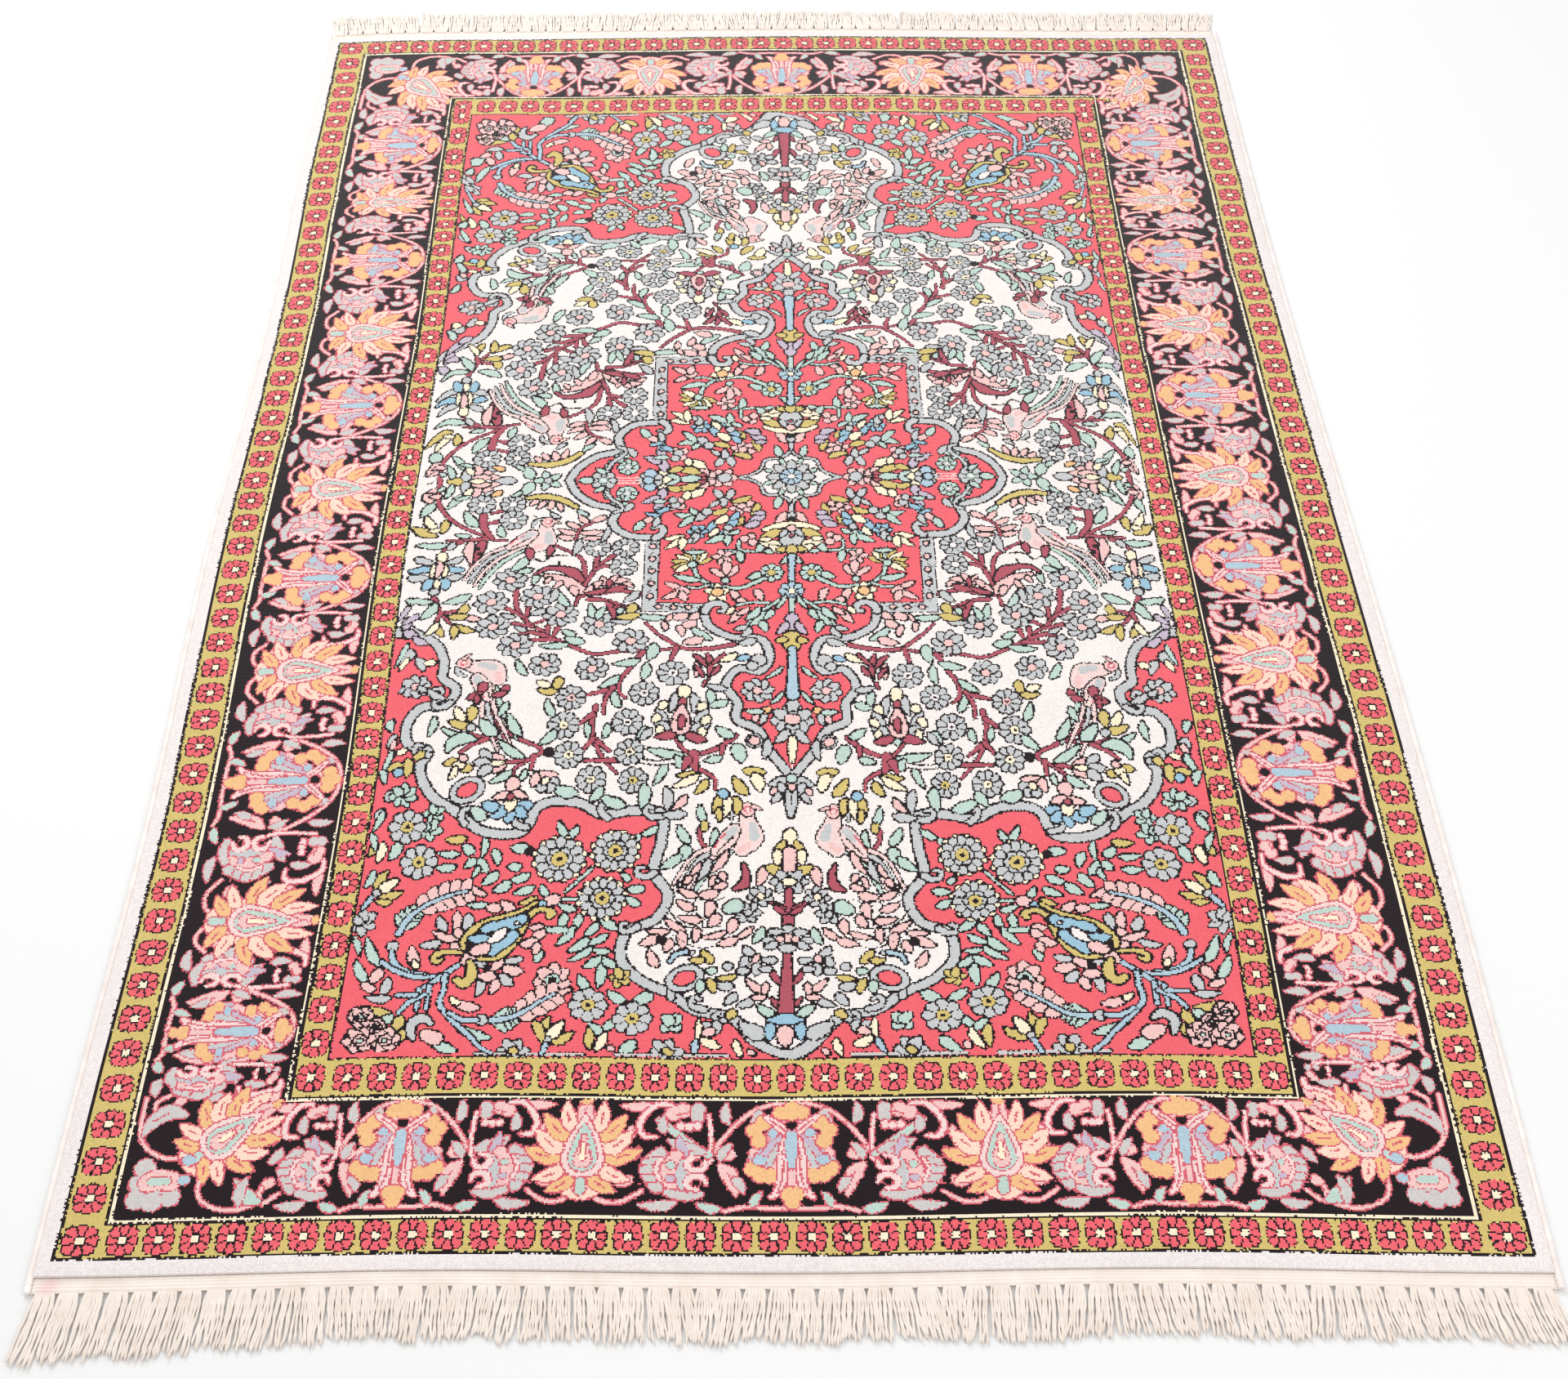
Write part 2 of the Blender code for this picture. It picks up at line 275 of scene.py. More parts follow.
def spray(here, bar=False):
    """What lies between a fan and a lotus: ring vine, leaves, a square flower, a hook and a scrolled cone
    flower, from 0 at the fan's middle to 152 at the lotus's."""
    brush(here, xy(0, -58, 14, -56, 28, -49, 40, -36, 52, -17, 60, -2), [1.5], PINK, ROSE, 1.0)
    brush(here, xy(0, 52, 20, 52, 36, 51, 48, 55), [1.4], PINK, ROSE, 1.0)
    brush(here, xy(146, 36, 138, 45, 124, 47, 108, 36), [1.4], PINK, ROSE, 1.0)
    brush(here, xy(61, -44, 59, -22, 60, -2, 66, 10), [1.4], BLUSH, ROSE, 1.0)
    if bar:
        brush(here, xy(60, -2, 78, -19, 97, -38), [2.8], MINT, ROSE, 1.0)
        brush(here, xy(58, 2, 68, 12, 84, 18), [1.3], BLUSH, ROSE, 1.0)
    for root, tip, wide, shade in ((47 - 36j, 48 - 57j, 8, SMOKE), (42 - 2j, 56 - 10j, 11, PINK),
                                   (52 + 2j, 44 - 14j, 8, SMOKE), (52 + 8j, 40 + 40j, 13, PINK),
                                   (42 + 22j, 35 + 36j, 8, SMOKE), (52 + 53j, 68 + 48j, 8, MINT),
                                   (84 + 47j, 110 + 49j, 9, SMOKE), (104 - 55j, 126 - 53j, 8, PINK),
                                   (93 - 26j, 94 - 43j, 8, SMOKE), (64 - 6j, 90 - 18j, 13, SMOKE),
                                   (76 - 2j, 82 - 22j, 9, LILAC), (118 - 30j, 124 - 12j, 8, PINK),
                                   (112 - 8j, 122 + 6j, 8, SMOKE), (116 + 22j, 126 + 30j, 8, PINK),
                                   (28 + 50j, 22 + 36j, 7, MINT), (24 - 50j, 30 - 36j, 7, SMOKE)):
        leaf(here, root, tip, wide, shade, ROSE, 0.08, ROSE if wide > 12 else None, 1.0)
    lobes(here, PINK, 5.6, 80, -49, 87, -46)
    lobes(here, SMOKE, 4.8, 69, -50, 69, -43)
    lobes(here, BLUSH, 3.0, 69, -33, 75, -32, 81, -33)
    brush(here, xy(76, -47, 84, -44), [0.8], ROSE, None)
    brush(here, xy(89, -55, 99, -55, 107, -46, 112, -32, 109, -22, 99, -21), [1.6, 2, 2.2, 2.2, 2, 1.2],
          BLUSH, ROSE)
    brush(here, xy(96, -4, 103, 12, 97, 30), [5, 8, 6], SMOKE, ROSE)
    for y in (0, 8, 17, 26):
        brush(here, xy(97, y, 110, y + 2), [0.8], ROSE, None)
    brush(here, xy(84, -2, 88, 14, 86, 30), [5, 8, 6], PINK, ROSE)
    brush(here, xy(78, 6, 80, 20, 78, 30), [4, 5, 4], GREY, ROSE, 0.9)
    brush(here, xy(90, 36, 78, 40, 66, 38), [3, 4, 2.6], SMOKE, ROSE)
    brush(here, xy(95, 2, 99, 13, 95, 24), [1.4], BLUSH, ROSE, 0.8)
    spot(here, 88 + 8j, 3.4, 3, 0, MINT, ROSE, 0.8)
    spot(here, 88 + 22j, 3.4, 3, 0, LILAC, ROSE, 0.8)
    curl(here, 69, 6, 1)
    curl(here, 69, 26, -1)


SPRAY_LONG = 152
LAST_SIDE_FAN, LAST_END_FAN = 677, 322
SIDE_STOPS = ((lotus, 0), (fan, 134), (lotus, 262), (fan, 402), (lotus, 562), (fan, LAST_SIDE_FAN))
END_STOPS = ((fan, 0), (lotus, 171), (fan, LAST_END_FAN))


def lay_border(stops, place):
    """Sprays first, each measured from its fan towards its lotus and squeezed into the gap, then the big
    flowers but for the last, which lies over the corner's own spray."""
    for (flower, a), (_, b) in zip(stops, stops[1:]):
        start, sign = (a, 1) if flower is fan else (b, -1)
        spray(place(start, sign * (b - a) / SPRAY_LONG), flower is fan and a == 0)
    for flower, at in stops[:-1]:
        flower(place(at))


lay_border(SIDE_STOPS, on_side)
lay_border(END_STOPS, on_end)
spray(on_end(LAST_END_FAN, 0.86))
spray(on_side(LAST_SIDE_FAN, 0.56))
fan(on_side(LAST_SIDE_FAN, 0.78))
fan(on_end(LAST_END_FAN))

# the corner: a slanting lotus, a square flower with a mint heart, vines round both
brush(field, xy(497, 797, 516, 797, 532, 789, 541, 776, 543, 760, 543, 740), [1.5], PINK, ROSE, 1.0)
brush(field, xy(481, 806, 484, 822, 481, 833, 468, 842, 446, 844, 432, 838, 430, 826), [1.5], PINK, ROSE,
      1.0)
lotus(placed(469 + 780j, -52, 0.9))
leaf(field, 506 + 757j, 540 + 777j, 15, SMOKE, ROSE, -0.25, ROSE, 1.1)
leaf(field, 430 + 838j, 452 + 818j, 12, MINT, ROSE, 0.1, None, 1.1)
leaf(field, 446 + 840j, 442 + 816j, 10, SMOKE, ROSE, 0.1, None, 1.1)
lobes(field, SMOKE, 8, 506, 832, 520, 836, 533, 834, 533, 820, 531, 806, 518, 822)
brush(field, xy(508, 818, 520, 817, 526, 819), [8, 9, 8], PINK, ROSE, 1.0)
brush(field, xy(511, 818, 523, 818), [3.4, 3.8], MINT, ROSE, 0.8)
spot(field, 496 + 799j, 6, 5, 0, SKY, ROSE, 1.0)
spot(field, 497 + 817j, 5, 4.4, 0, SKY, ROSE, 1.0)

# the frames are knotted whole where a flower's outline would run over them
BORDER_OUT, BORDER_IN = (548, 850), (426.5, 746)
border = np.zeros(chart.shape, bool)
for (half_w, half_l), inside in ((BORDER_OUT, True), (BORDER_IN, False)):
    border[:int(half_l * CELLS_A_MM), :int(half_w * CELLS_A_MM)] = inside
chart[~border] = frames[~border]
edging = chart.copy()


# ---- The ivory ground --------------------------------------------------------------
# Inside the guards the field is coral. An ivory ground lies on it, with a grey ribbon for its edge that
# steps in at the corners in round bays, curls and two small rings. Flowers here are outlined in black.
OUTLINE = 1.7


def area(points, fill, *corners):
    """Fill a smooth outline, closed through square corners: a cell is inside when an odd number of the
    outline's edges lie to its right."""
    ring = np.append(smooth(points, [0.0], 1.0)[0], corners or 0j) * CELLS_A_MM
    inside = np.zeros(chart.shape, bool)
    for a, b in zip(ring, np.roll(ring, -1)):
        low, high = sorted((a.imag, b.imag))
        for row in range(int(np.ceil(low - 0.5)), int(np.ceil(high - 0.5))):
            cross = a.real + (row + 0.5 - a.imag) / (b.imag - a.imag) * (b.real - a.real)
            inside[row, :max(0, int(round(cross)))] ^= True
    chart[inside] = fill


def drift(x, y):
    """How far the knotting strays from a true mirrored plan at a signed place, in millimetres. In the field,
    the middle line sways right and left as a wave, and the plan is knotted high about the middle and low
    near the ends. In the border, the flowers crowd towards the middle on the far half, and everything on
    the right side climbs a little about the middle."""
    side, out = abs(x), abs(y)
    sway = 3.2 - 0.005 * side + 8.3 * (1 - side / 600) * np.cos(np.pi * out / (705 - 0.7 * side))
    to_right = np.where(y > 0, (12 + 0.005 * out) * (1 - side / 530), sway)
    fall, back = np.clip((out - 250) / 290, 0, 1), np.clip((out - 540) / 165, 0, 1)
    away = 2.5 + 11.5 * np.cos(np.pi * fall) + 4.5 * (1 - np.cos(np.pi * back))
    near_left = (2.25 - 6.25 * np.cos(np.pi * out / 370)) * np.clip(side / 150, 0, 1)
    far_left = -10 * np.clip((side - 200) / 150, 0, 1)
    far_left = far_left + (near_left - far_left) * np.clip(1 - out / 80, 0, 1)
    away = away + np.where(x > 0, 0, np.where(y > 0, far_left, near_left))
    inside = np.clip((394 - side) / 15, 0, 1) * np.clip((705 - out) / 15, 0, 1)
    climb = np.where(x > 0, 17 * np.cos(np.pi / 2 * np.clip(out / 560, 0, 1)), 1)
    crowd = np.where(y > 0, -54 * np.exp(-((out - 610) / 120) ** 2), 0)
    slide = (climb + crowd * (side < 549)) * np.clip((890 - out) / 60, 0, 1)
    slide = slide * ((side > 397) & (side < 422) & (out < 740) | (side > 426) & (side < 586))
    shift = np.where(y > 0, 12 + 0.025 * x, 0.008 * x)
    shift = shift * (out > 747) * (out < 849) * np.clip((500 - side) / 60, 0, 1)
    return to_right * inside + shift, away * inside + slide


def near(point):
    """The chart place of a point given where it lies on the near right quarter: the drift at the place found
    so far is taken off the point, over and over, until the place stands still."""
    point = np.asarray(point, complex)
    spot = point
    for _ in range(8):
        dx, dy = drift(spot.real, -abs(spot.imag))
        spot = point - dx + 1j * dy
    return spot


GROUND_EDGE = xy(-22, 701, 2, 701, 19, 690, 43, 664, 75, 657, 98, 640, 123, 628, 144, 604, 141, 579,
                 115, 564, 106, 540, 121, 515, 117, 482, 119, 449, 147, 447, 174, 452, 194, 440, 233, 443,
                 244, 470, 281, 472, 313, 447, 335, 431, 350, 393, 345, 380, 366, 368, 370, 345, 358, 321,
                 335, 318, 327, 297, 342, 280, 342, 269, 352, 236, 381, 214, 400, 192)
area(near(GROUND_EDGE), IVORY, 400 + 0j, -20 + 0j)
brush(near, GROUND_EDGE, [4.2], GREY, BLACK, 1.2)
for x, y, turn in ((132, 573, 60), (119, 452, 30), (97, 644, -70), (345, 382, 20), (343, 313, -30),
                   (331, 315, 60), (168, 456, -20), (242, 467, 10), (121, 516, 50), (67, 656, 10),
                   (301, 463, -40), (43, 659, 80)):
    hook = placed(near(complex(x, y)), turn, scale=1.1)
    brush(hook, xy(0, 0, 7, -3, 10, -9, 6, -13, 2, -10), [3, 2.6, 2.2, 1.8, 1.5], GREY, BLACK, 1.1)
for x, y, turn in ((86, 625, 28), (303, 424, 32)):
    spot(near, complex(x, y), 17, 13, turn, GREY, BLACK, 1.1)
    spot(near, complex(x, y), 10, 6.8, turn, CORAL, BLACK, 1.1)


# ---- Medallion ---------------------------------------------------------------------
# A coral medallion covers the middle: a long box with a lobe on each side, a stepped finial at each end
# and a grey ribbon round it all. A star lies in its middle, with palmettes and sprays about it.
MEDALLION = xy(2, 399, 24, 367, 37, 342, 56, 330, 56, 310, 68, 288, 56, 264, 36, 266, 28, 248, 36, 225,
               68, 220, 90, 205, 96, 182)
SIDE_LOBE = xy(148, 76, 181, 70, 195, 51, 192, 33, 217, 22, 236, 3, 243, -14)
BOX_W, BOX_L = 136, 187
chart[:(BOX_L + 15) * CELLS_A_MM, :(BOX_W + 16) * CELLS_A_MM] = BLACK
chart[:(BOX_L + 14) * CELLS_A_MM, :(BOX_W + 15) * CELLS_A_MM] = GREY
area(near(SIDE_LOBE), GREY)
area(near(MEDALLION), CORAL)
area(near(SIDE_LOBE), CORAL)
for line in (MEDALLION, SIDE_LOBE):
    brush(near, line, [3.8], GREY, BLACK, 1.3)
chart[:BOX_L * CELLS_A_MM + 3, :BOX_W * CELLS_A_MM + 3] = BLACK
for half_l, half_w in ((BOX_L, BOX_W), (83, BOX_W + 6), (BOX_L + 20, 80)):
    chart[:half_l * CELLS_A_MM, :half_w * CELLS_A_MM] = CORAL
brush(field, xy(141, 90, 135, 84, 134, 76, 139, 72, 144, 75), [3.8, 3.4, 3, 2.6, 2], GREY)
brush(field, xy(88, 199, 84, 190, 76, 187, 68, 191, 68, 198, 73, 199), [3.8, 3.6, 3.2, 3, 2.6, 2], GREY)
# small hooks and buds along the ribbon of the box
for k in range(5):
    at = 143.5 + 1j * (100 + 19 * k)
    brush(placed(at), xy(0, -6, 4, 0, -3, 4, 0, 9), [0.6], BLACK, None)
    spot(field, at + 3j, 2.4, 2.8, 0, PINK)
for k in range(3):
    at = 103 + 15 * k + 194j
    brush(placed(at), xy(-6, 0, 0, -3, 3, 3, 8, 0), [0.6], BLACK, None)
    spot(field, at + 2, 2.4, 2.2, 0, PINK)


def rose(here, at, reach, count, fill, heart, hub=0.3, dot=None, edge=1.2, gap=0.75):
    """A rosette by its polar rule: the rim is the reach less a fifth of how far the wave of the petals has
    fallen, dark rays part the petals, and a round heart lies on top."""
    at = here(np.array([complex(at)]))[0]
    window, z = cells(at, reach + 2 * edge + 1)
    far = np.abs(z)
    wave = np.abs(np.cos(count * np.angle(z) / 2))
    rim = reach * (1 - 0.2 * (1 - wave ** 0.6))
    window[far < rim + edge * OUTLINE] = BLACK
    window[far < rim] = fill
    window[(far < rim) & (wave * far * 2 / count < gap)] = BLACK
    window[far < reach * hub + edge * 0.8] = BLACK
    window[far < reach * hub] = heart
    if dot is not None:
        window[far < reach * hub * 0.4] = dot


def leaves(here, shade, *flat):
    """Leaves by their middles: x, y, the way they point in degrees, length and width, five numbers each."""
    for x, y, turn, long, wide in np.reshape(flat, (-1, 5)):
        half = long / 2 * np.exp(1j * np.radians(turn))
        leaf(here, complex(x, y) - half, complex(x, y) + half, wide, shade, BLACK, 0.06, edge=1.1)


def dots(here, shade, *flat, edge=1.1):
    """Round florets: x, y and radius, three numbers each."""
    for x, y, radius in np.reshape(flat, (-1, 3)):
        spot(here, complex(x, y), radius, radius, 0, shade, BLACK, edge)


def petals(here, x, y, count, far, long, wide, shade, turn=0.0):
    """A ring of so many petals about a point, their middles far from it and each so long and wide."""
    for k in range(count):
        out = np.exp(1j * np.radians(turn + 360 / count * k))
        leaf(here, complex(x, y) + out * (far - long / 2), complex(x, y) + out * (far + long / 2), wide,
             shade, BLACK, 0.0, edge=1.0)


# the star in the middle
STAR = xy(0, 45, 4, 36, 12, 30, 24, 28, 29, 25, 31, 18, 34, 11, 42, 5, 55, 0)
area(STAR, IVORY)
brush(field, STAR, [1.3], GREY, BLACK, 1.0)
petals(field, 0, 0, 8, 19, 13, 10, GREY)
petals(field, 0, 0, 8, 27, 7, 5, MINT, 22)
rose(field, 0, 12, 8, SKY, IVORY, hub=0.3)
leaves(field, MINT, 15, 41, 80, 16, 8)

# the palmette beside it and the rosette at the lobe's tip
petals(field, 72, 0, 6, 9, 11, 9, PINK)
dots(field, GREY, 71, 0, 6.5)
leaves(field, PINK, 88, 7, 50, 16, 9, 88, -7, -50, 16, 9, 94, 12, 70, 18, 8)
leaves(field, WINE, 99, 6, 10, 15, 6)
leaves(field, CREAM, 103, 23, 30, 22, 10, 112, 27, 70, 12, 8, 136, 8, 40, 14, 7, 137, 0, 0, 16, 8)
leaves(field, GOLD, 112, 12, 15, 28, 10, 124, 14, -20, 14, 8)
leaves(field, MINT, 110, 0, 0, 24, 7, 126, 4, 30, 14, 6)
rose(field, 150, 13, 7, GREY, MINT, hub=0.4)
dots(field, SKY, 150, 10, 6, 152, 0, 5)
for y in (0, 4):
    brush(field, xy(162, y, 176, y, 190, y), [1.1], PINK, None)
rose(field, 174 + 20j, 11, 8, MINT, GREY, hub=0.36, dot=IVORY)
rose(field, 200, 14, 8, GREY, MINT, hub=0.34, dot=IVORY)
leaves(field, MINT, 219, 0, 0, 14, 8, 197, 20, 100, 18, 7, 204, 14, 40, 12, 6)
leaves(field, MINT, 186, 33, 60, 12, 8, 180, 38, 20, 10, 8)
brush(field, xy(196, 18, 189, 30, 182, 36, 178, 46, 186, 50), [1.8], GREY, BLACK, 1.0)

# the palmette on the diagonal, with its sprays
petals(field, 52, 44, 6, 8, 11, 8, PINK, 20)
dots(field, PINK, 52, 44, 4)
leaves(field, GOLD, 53, 34, 20, 20, 8, 38, 50, 65, 17, 7, 77, 52, 18, 20, 8, 56, 69, 50, 17, 7)
leaves(field, GREY, 66, 27, 70, 17, 8, 77, 27, 115, 17, 8, 72, 38, 90, 12, 8, 82, 40, 40, 12, 6)
leaves(field, LILAC, 36, 62, 35, 18, 10, 42, 72, 20, 16, 9, 33, 55, 0, 10, 6)
leaves(field, BLUE, 64, 71, 52, 21, 9, 86, 76, 60, 22, 8, 60, 60, 50, 13, 7, 71, 84, 40, 14, 7)
leaves(field, CREAM, 74, 65, 40, 16, 10, 82, 84, 55, 14, 7)
leaves(field, MINT, 68, 93, 95, 20, 9, 80, 94, 30, 20, 8, 60, 84, 30, 12, 6)
dots(field, GREY, 97, 58, 7, 89, 52, 5, 66, 77, 4)
leaves(field, MINT, 112, 56, -12, 20, 8, 111, 66, 48, 20, 8, 103, 50, -50, 10, 6)
petals(field, 98, 82, 6, 6, 9, 7, BLUE)
dots(field, GREY, 98, 82, 2.6)
leaves(field, GREY, 101, 92, 80, 14, 8, 106, 96, 60, 8, 5)
leaves(field, CREAM, 122, 90, 10, 20, 8, 122, 99, 42, 22, 7, 114, 100, 85, 16, 8)
dots(field, PINK, 42, 90, 4, 49, 94, 4.5, 41, 99, 4.5, 118, 34, 4.5, 126, 43, 5, 116, 43, 4)
brush(field, xy(55, 97, 54, 110, 44, 112, 30, 112), [1.4], MINT, BLACK, 1.0)
leaves(field, MINT, 34, 108, 60, 12, 8, 24, 112, 0, 10, 6, 66, 112, 0, 18, 6, 54, 121, 100, 16, 8)
dots(field, GREY, 122, 40, 4.5, 125, 32, 4)
dots(field, CREAM, 71, 119, 4.5)
petals(field, 71, 120, 5, 7, 7, 6, PINK)
leaves(field, LILAC, 139, 24, 70, 20, 10, 149, 30, 30, 18, 9, 141, 40, 60, 12, 8)
leaves(field, BLUE, 141, 53, 80, 16, 8, 135, 47, 30, 12, 6, 146, 54, -20, 14, 6)
leaves(field, GREY, 142, 66, 75, 14, 7, 172, 42, 60, 14, 7)
leaves(field, PINK, 152, 63, 40, 14, 8)
leaves(field, MINT, 160, 72, 60, 14, 9, 140, 33, 0, 14, 6)

# on the axis: buds, palmette, stem and rosettes
leaves(field, PINK, 11, 63, 57, 16, 9)
leaves(field, GREY, 0, 52, 90, 18, 7, 0, 64, 90, 14, 10)
dots(field, BLACK, 0, 66, 3)
brush(field, xy(0, 73, 15, 75, 28, 80), [3.6, 3.4, 2.4], CREAM, BLACK, 1.1)
leaves(field, GOLD, 22, 86, 25, 20, 11)
leaves(field, CREAM, 22, 100, -10, 22, 11, 15, 108, -30, 18, 9, 28, 94, 0, 10, 6)
brush(field, xy(0, 84, 4, 92, 0, 106), [6, 9, 5], GREY)
leaves(field, GREY, 9, 86, 60, 12, 6)
dots(field, PINK, 0, 79, 4.5)
dots(field, WINE, 0, 90, 2)
leaves(field, GOLD, 9, 109, 10, 14, 8, 0, 113, 90, 12, 13)
leaf(field, 2 + 118j, 11 + 130j, 7, MINT)
brush(field, xy(0, 120, 0, 136, 0, 158), [3.6, 2.6, 2.2], SKY, BLACK, 1.2)
rose(field, 21 + 144j, 12, 8, MINT, GOLD, hub=0.34)
rose(field, 0 + 170j, 12.5, 8, SKY, CREAM, hub=0.26)
leaves(field, MINT, 39, 148, 30, 14, 8)
leaves(field, PINK, 61, 141, 60, 16, 7, 68, 137, 90, 18, 9, 76, 144, 140, 17, 7)
dots(field, MINT, 68, 154, 3.6)
brush(field, xy(28, 152, 38, 158, 51, 165, 68, 164, 85, 159, 97, 147, 100, 135), [2.2, 2, 2, 2, 1.8, 1.8],
      MINT, BLACK, 1.1)
brush(field, xy(85, 160, 97, 165, 106, 164), [1.2], MINT, BLACK, 1.0)
for turn, shade in ((-160, GOLD), (-135, CREAM), (-110, GOLD), (-90, MINT), (-65, GOLD), (-40, CREAM),
                    (-12, GOLD), (15, GOLD), (35, CREAM)):
    out = np.exp(1j * np.radians(turn))
    leaf(field, 102 + 130j + 4 * out, 102 + 130j + 21 * out, 7.5, shade, BLACK, 0.0, edge=1.0)
dots(field, MINT, 102, 131, 4)
leaves(field, MINT, 108, 150, -14, 26, 8, 100, 112, 0, 20, 5)
petals(field, 76, 172, 5, 8, 10, 8, CREAM, -90)
dots(field, ORANGE, 76, 171, 5.5)
leaves(field, PINK, 112, 167, -35, 16, 9, 122, 161, -25, 14, 7, 112, 178, 120, 14, 9, 124, 177, 35, 17, 7)
leaves(field, PINK, 34, 176, 110, 16, 8, 58, 178, 110, 18, 8, 50, 185, 150, 12, 7)
brush(field, xy(9, 181, 22, 190, 36, 204, 48, 222), [1.8, 1.6, 1.2], MINT, BLACK, 1.0)
leaves(field, MINT, 33, 208, 50, 24, 11, 40, 202, 50, 20, 8, 29, 220, 110, 14, 8, 24, 203, 60, 14, 7)
brush(field, xy(24, 187, 40, 186, 56, 190), [1.2], MINT, BLACK, 1.0)
leaves(field, PINK, 58, 206, 60, 20, 8, 50, 199, 40, 14, 6)
leaves(field, CREAM, 63, 198, 60, 10, 6)
brush(field, xy(0, 182, 0, 202), [2.4], MINT, BLACK, 1.0)
leaves(field, MINT, 12, 186, 60, 22, 4)
leaves(field, LILAC, 0, 214, 90, 22, 16, 10, 222, 60, 18, 8)
dots(field, PINK, 0, 230, 3.6)
brush(field, xy(0, 236, 0, 244, 0, 256), [9, 8, 2], GOLD)
leaves(field, GOLD, 11, 238, 20, 10, 8)
leaves(field, GREY, 46, 228, 60, 14, 7, 52, 222, 20, 12, 6)


# ---- Flowers of the ivory ground ---------------------------------------------------
# Maroon branches climb over the ivory in long curves, with full grey rosettes, parted star flowers, tulips,
# palms and birds on them, and leaves in mint, gold, cream and pink between.


def branch(*flat, half=(2.6, 1.8, 1.2)):
    """A maroon stem through the given points, thinning as it goes."""
    brush(near, xy(*flat), half, WINE, BLACK, 0.7)


def grey_rose(x, y, reach, heart=IVORY, dot=None):
    """A full round rosette of nine petals."""
    rose(near, complex(x, y), reach, 9, GREY, heart, hub=0.3, dot=dot)


def star_rose(x, y, reach):
    """A rosette of eight parted petals about a pink heart."""
    petals(near, x, y, 8, reach * 0.66, reach * 0.66, reach * 0.62, GREY, 11)
    dots(near, PINK, x, y, reach * 0.28, edge=0.9)


def tulip(x, y, turn):
    """Three long petals from a small grey foot: gold, cream, gold."""
    here = placed(near(complex(x, y)), turn, scale=0.95)
    leaf(here, 2 + 3j, 20 + 14j, 9, GOLD, bow=0.12)
    leaf(here, 2 - 3j, 20 - 14j, 9, GOLD, bow=-0.12)
    leaf(here, 3 + 0j, 24 + 0j, 10, CREAM, bow=0)
    spot(here, 0j, 3.6, 3.6, 0, GREY)


BRANCHES = ((216, 156, 217, 131, 223, 107, 235, 97, 251, 87),
            (207, 103, 207, 121, 213, 141, 219, 160, 223, 179), (190, 103, 197, 110, 205, 120),
            (186, 119, 200, 120, 208, 126), (284, 156, 279, 186, 261, 210, 250, 217),
            (269, 177, 269, 199), (297, 179, 283, 188, 268, 200), (244, 196, 260, 206),
            (280, 206, 261, 211), (237, 213, 240, 224), (247, 211, 246, 223),
            (276, 226, 268, 219, 244, 226, 219, 240, 197, 250, 174, 245, 151, 245, 118, 238),
            (239, 229, 276, 230),
            (377, -30, 378, -8, 377, 17, 361, 46, 345, 60, 333, 67, 316, 78, 301, 80),
            (303, 31, 320, 37), (312, 50, 323, 53), (321, 77, 361, 79), (347, 81, 358, 88, 366, 99),
            (364, 167, 354, 190, 343, 205), (354, 190, 340, 186), (354, 188, 358, 204),
            (64, 231, 90, 238, 116, 237, 130, 226, 141, 216, 151, 204),
            (151, 245, 162, 269, 170, 288, 168, 303, 162, 309), (119, 238, 124, 259),
            (176, 295, 182, 312, 182, 329), (182, 299, 201, 305),
            (190, 320, 192, 340, 188, 363, 179, 383, 163, 404), (188, 361, 172, 377),
            (189, 361, 198, 376), (192, 330, 205, 343), (163, 388, 195, 388),
            (56, 352, 69, 366, 83, 374, 95, 377, 106, 367, 110, 361), (67, 365, 68, 380),
            (95, 377, 95, 388, 81, 398, 72, 406, 71, 418), (96, 388, 102, 397),
            (298, 302, 291, 329, 278, 347, 259, 361, 237, 377, 251, 389, 261, 399, 261, 411),
            (269, 357, 298, 359, 309, 354), (291, 361, 305, 369, 315, 379), (244, 383, 245, 399),
            (255, 387, 271, 391), (82, 465, 82, 475, 71, 492), (210, 170, 194, 171, 176, 179),
            (160, 162, 180, 157, 200, 162, 218, 165))
for row in BRANCHES:
    branch(*row)
branch(328, 40, 326, 59, 316, 76, half=(4, 3.6, 2.4))

# beside the medallion, on the cross axis
leaves(field, PINK, 318, 8, 200, 26, 9, 322, 16, 140, 20, 9, 334, 18, 90, 18, 9,
       330, 5, 0, 20, 8)
leaves(field, GREY, 303, 0, 0, 20, 9, 320, 22, 60, 10, 8, 347, 9, 90, 16, 10, 347, -9, 90, 16, 10)
leaves(field, CREAM, 334, 0, 0, 14, 6, 343, 18, 60, 14, 7)
leaves(field, ORANGE, 312, 20, 30, 12, 7)
leaves(field, GOLD, 358, 0, 0, 14, 10)
petals(field, 258, 0, 5, 9, 12, 8, MINT, 0)
dots(field, GREY, 258, 0, 3.6)
for x, y, reach in ((299, 23, 13), (331, 23, 14), (297, 48, 14), (207, 91, 13), (179, 91, 13.5),
                    (179, 120, 13.5)):
    grey_rose(x, y, reach)
for x, y in ((261, 166), (307, 174), (291, 140), (236, 193), (301, 210), (276, 237), (197, 207),
             (164, 230)):
    star_rose(x, y, 16.5)

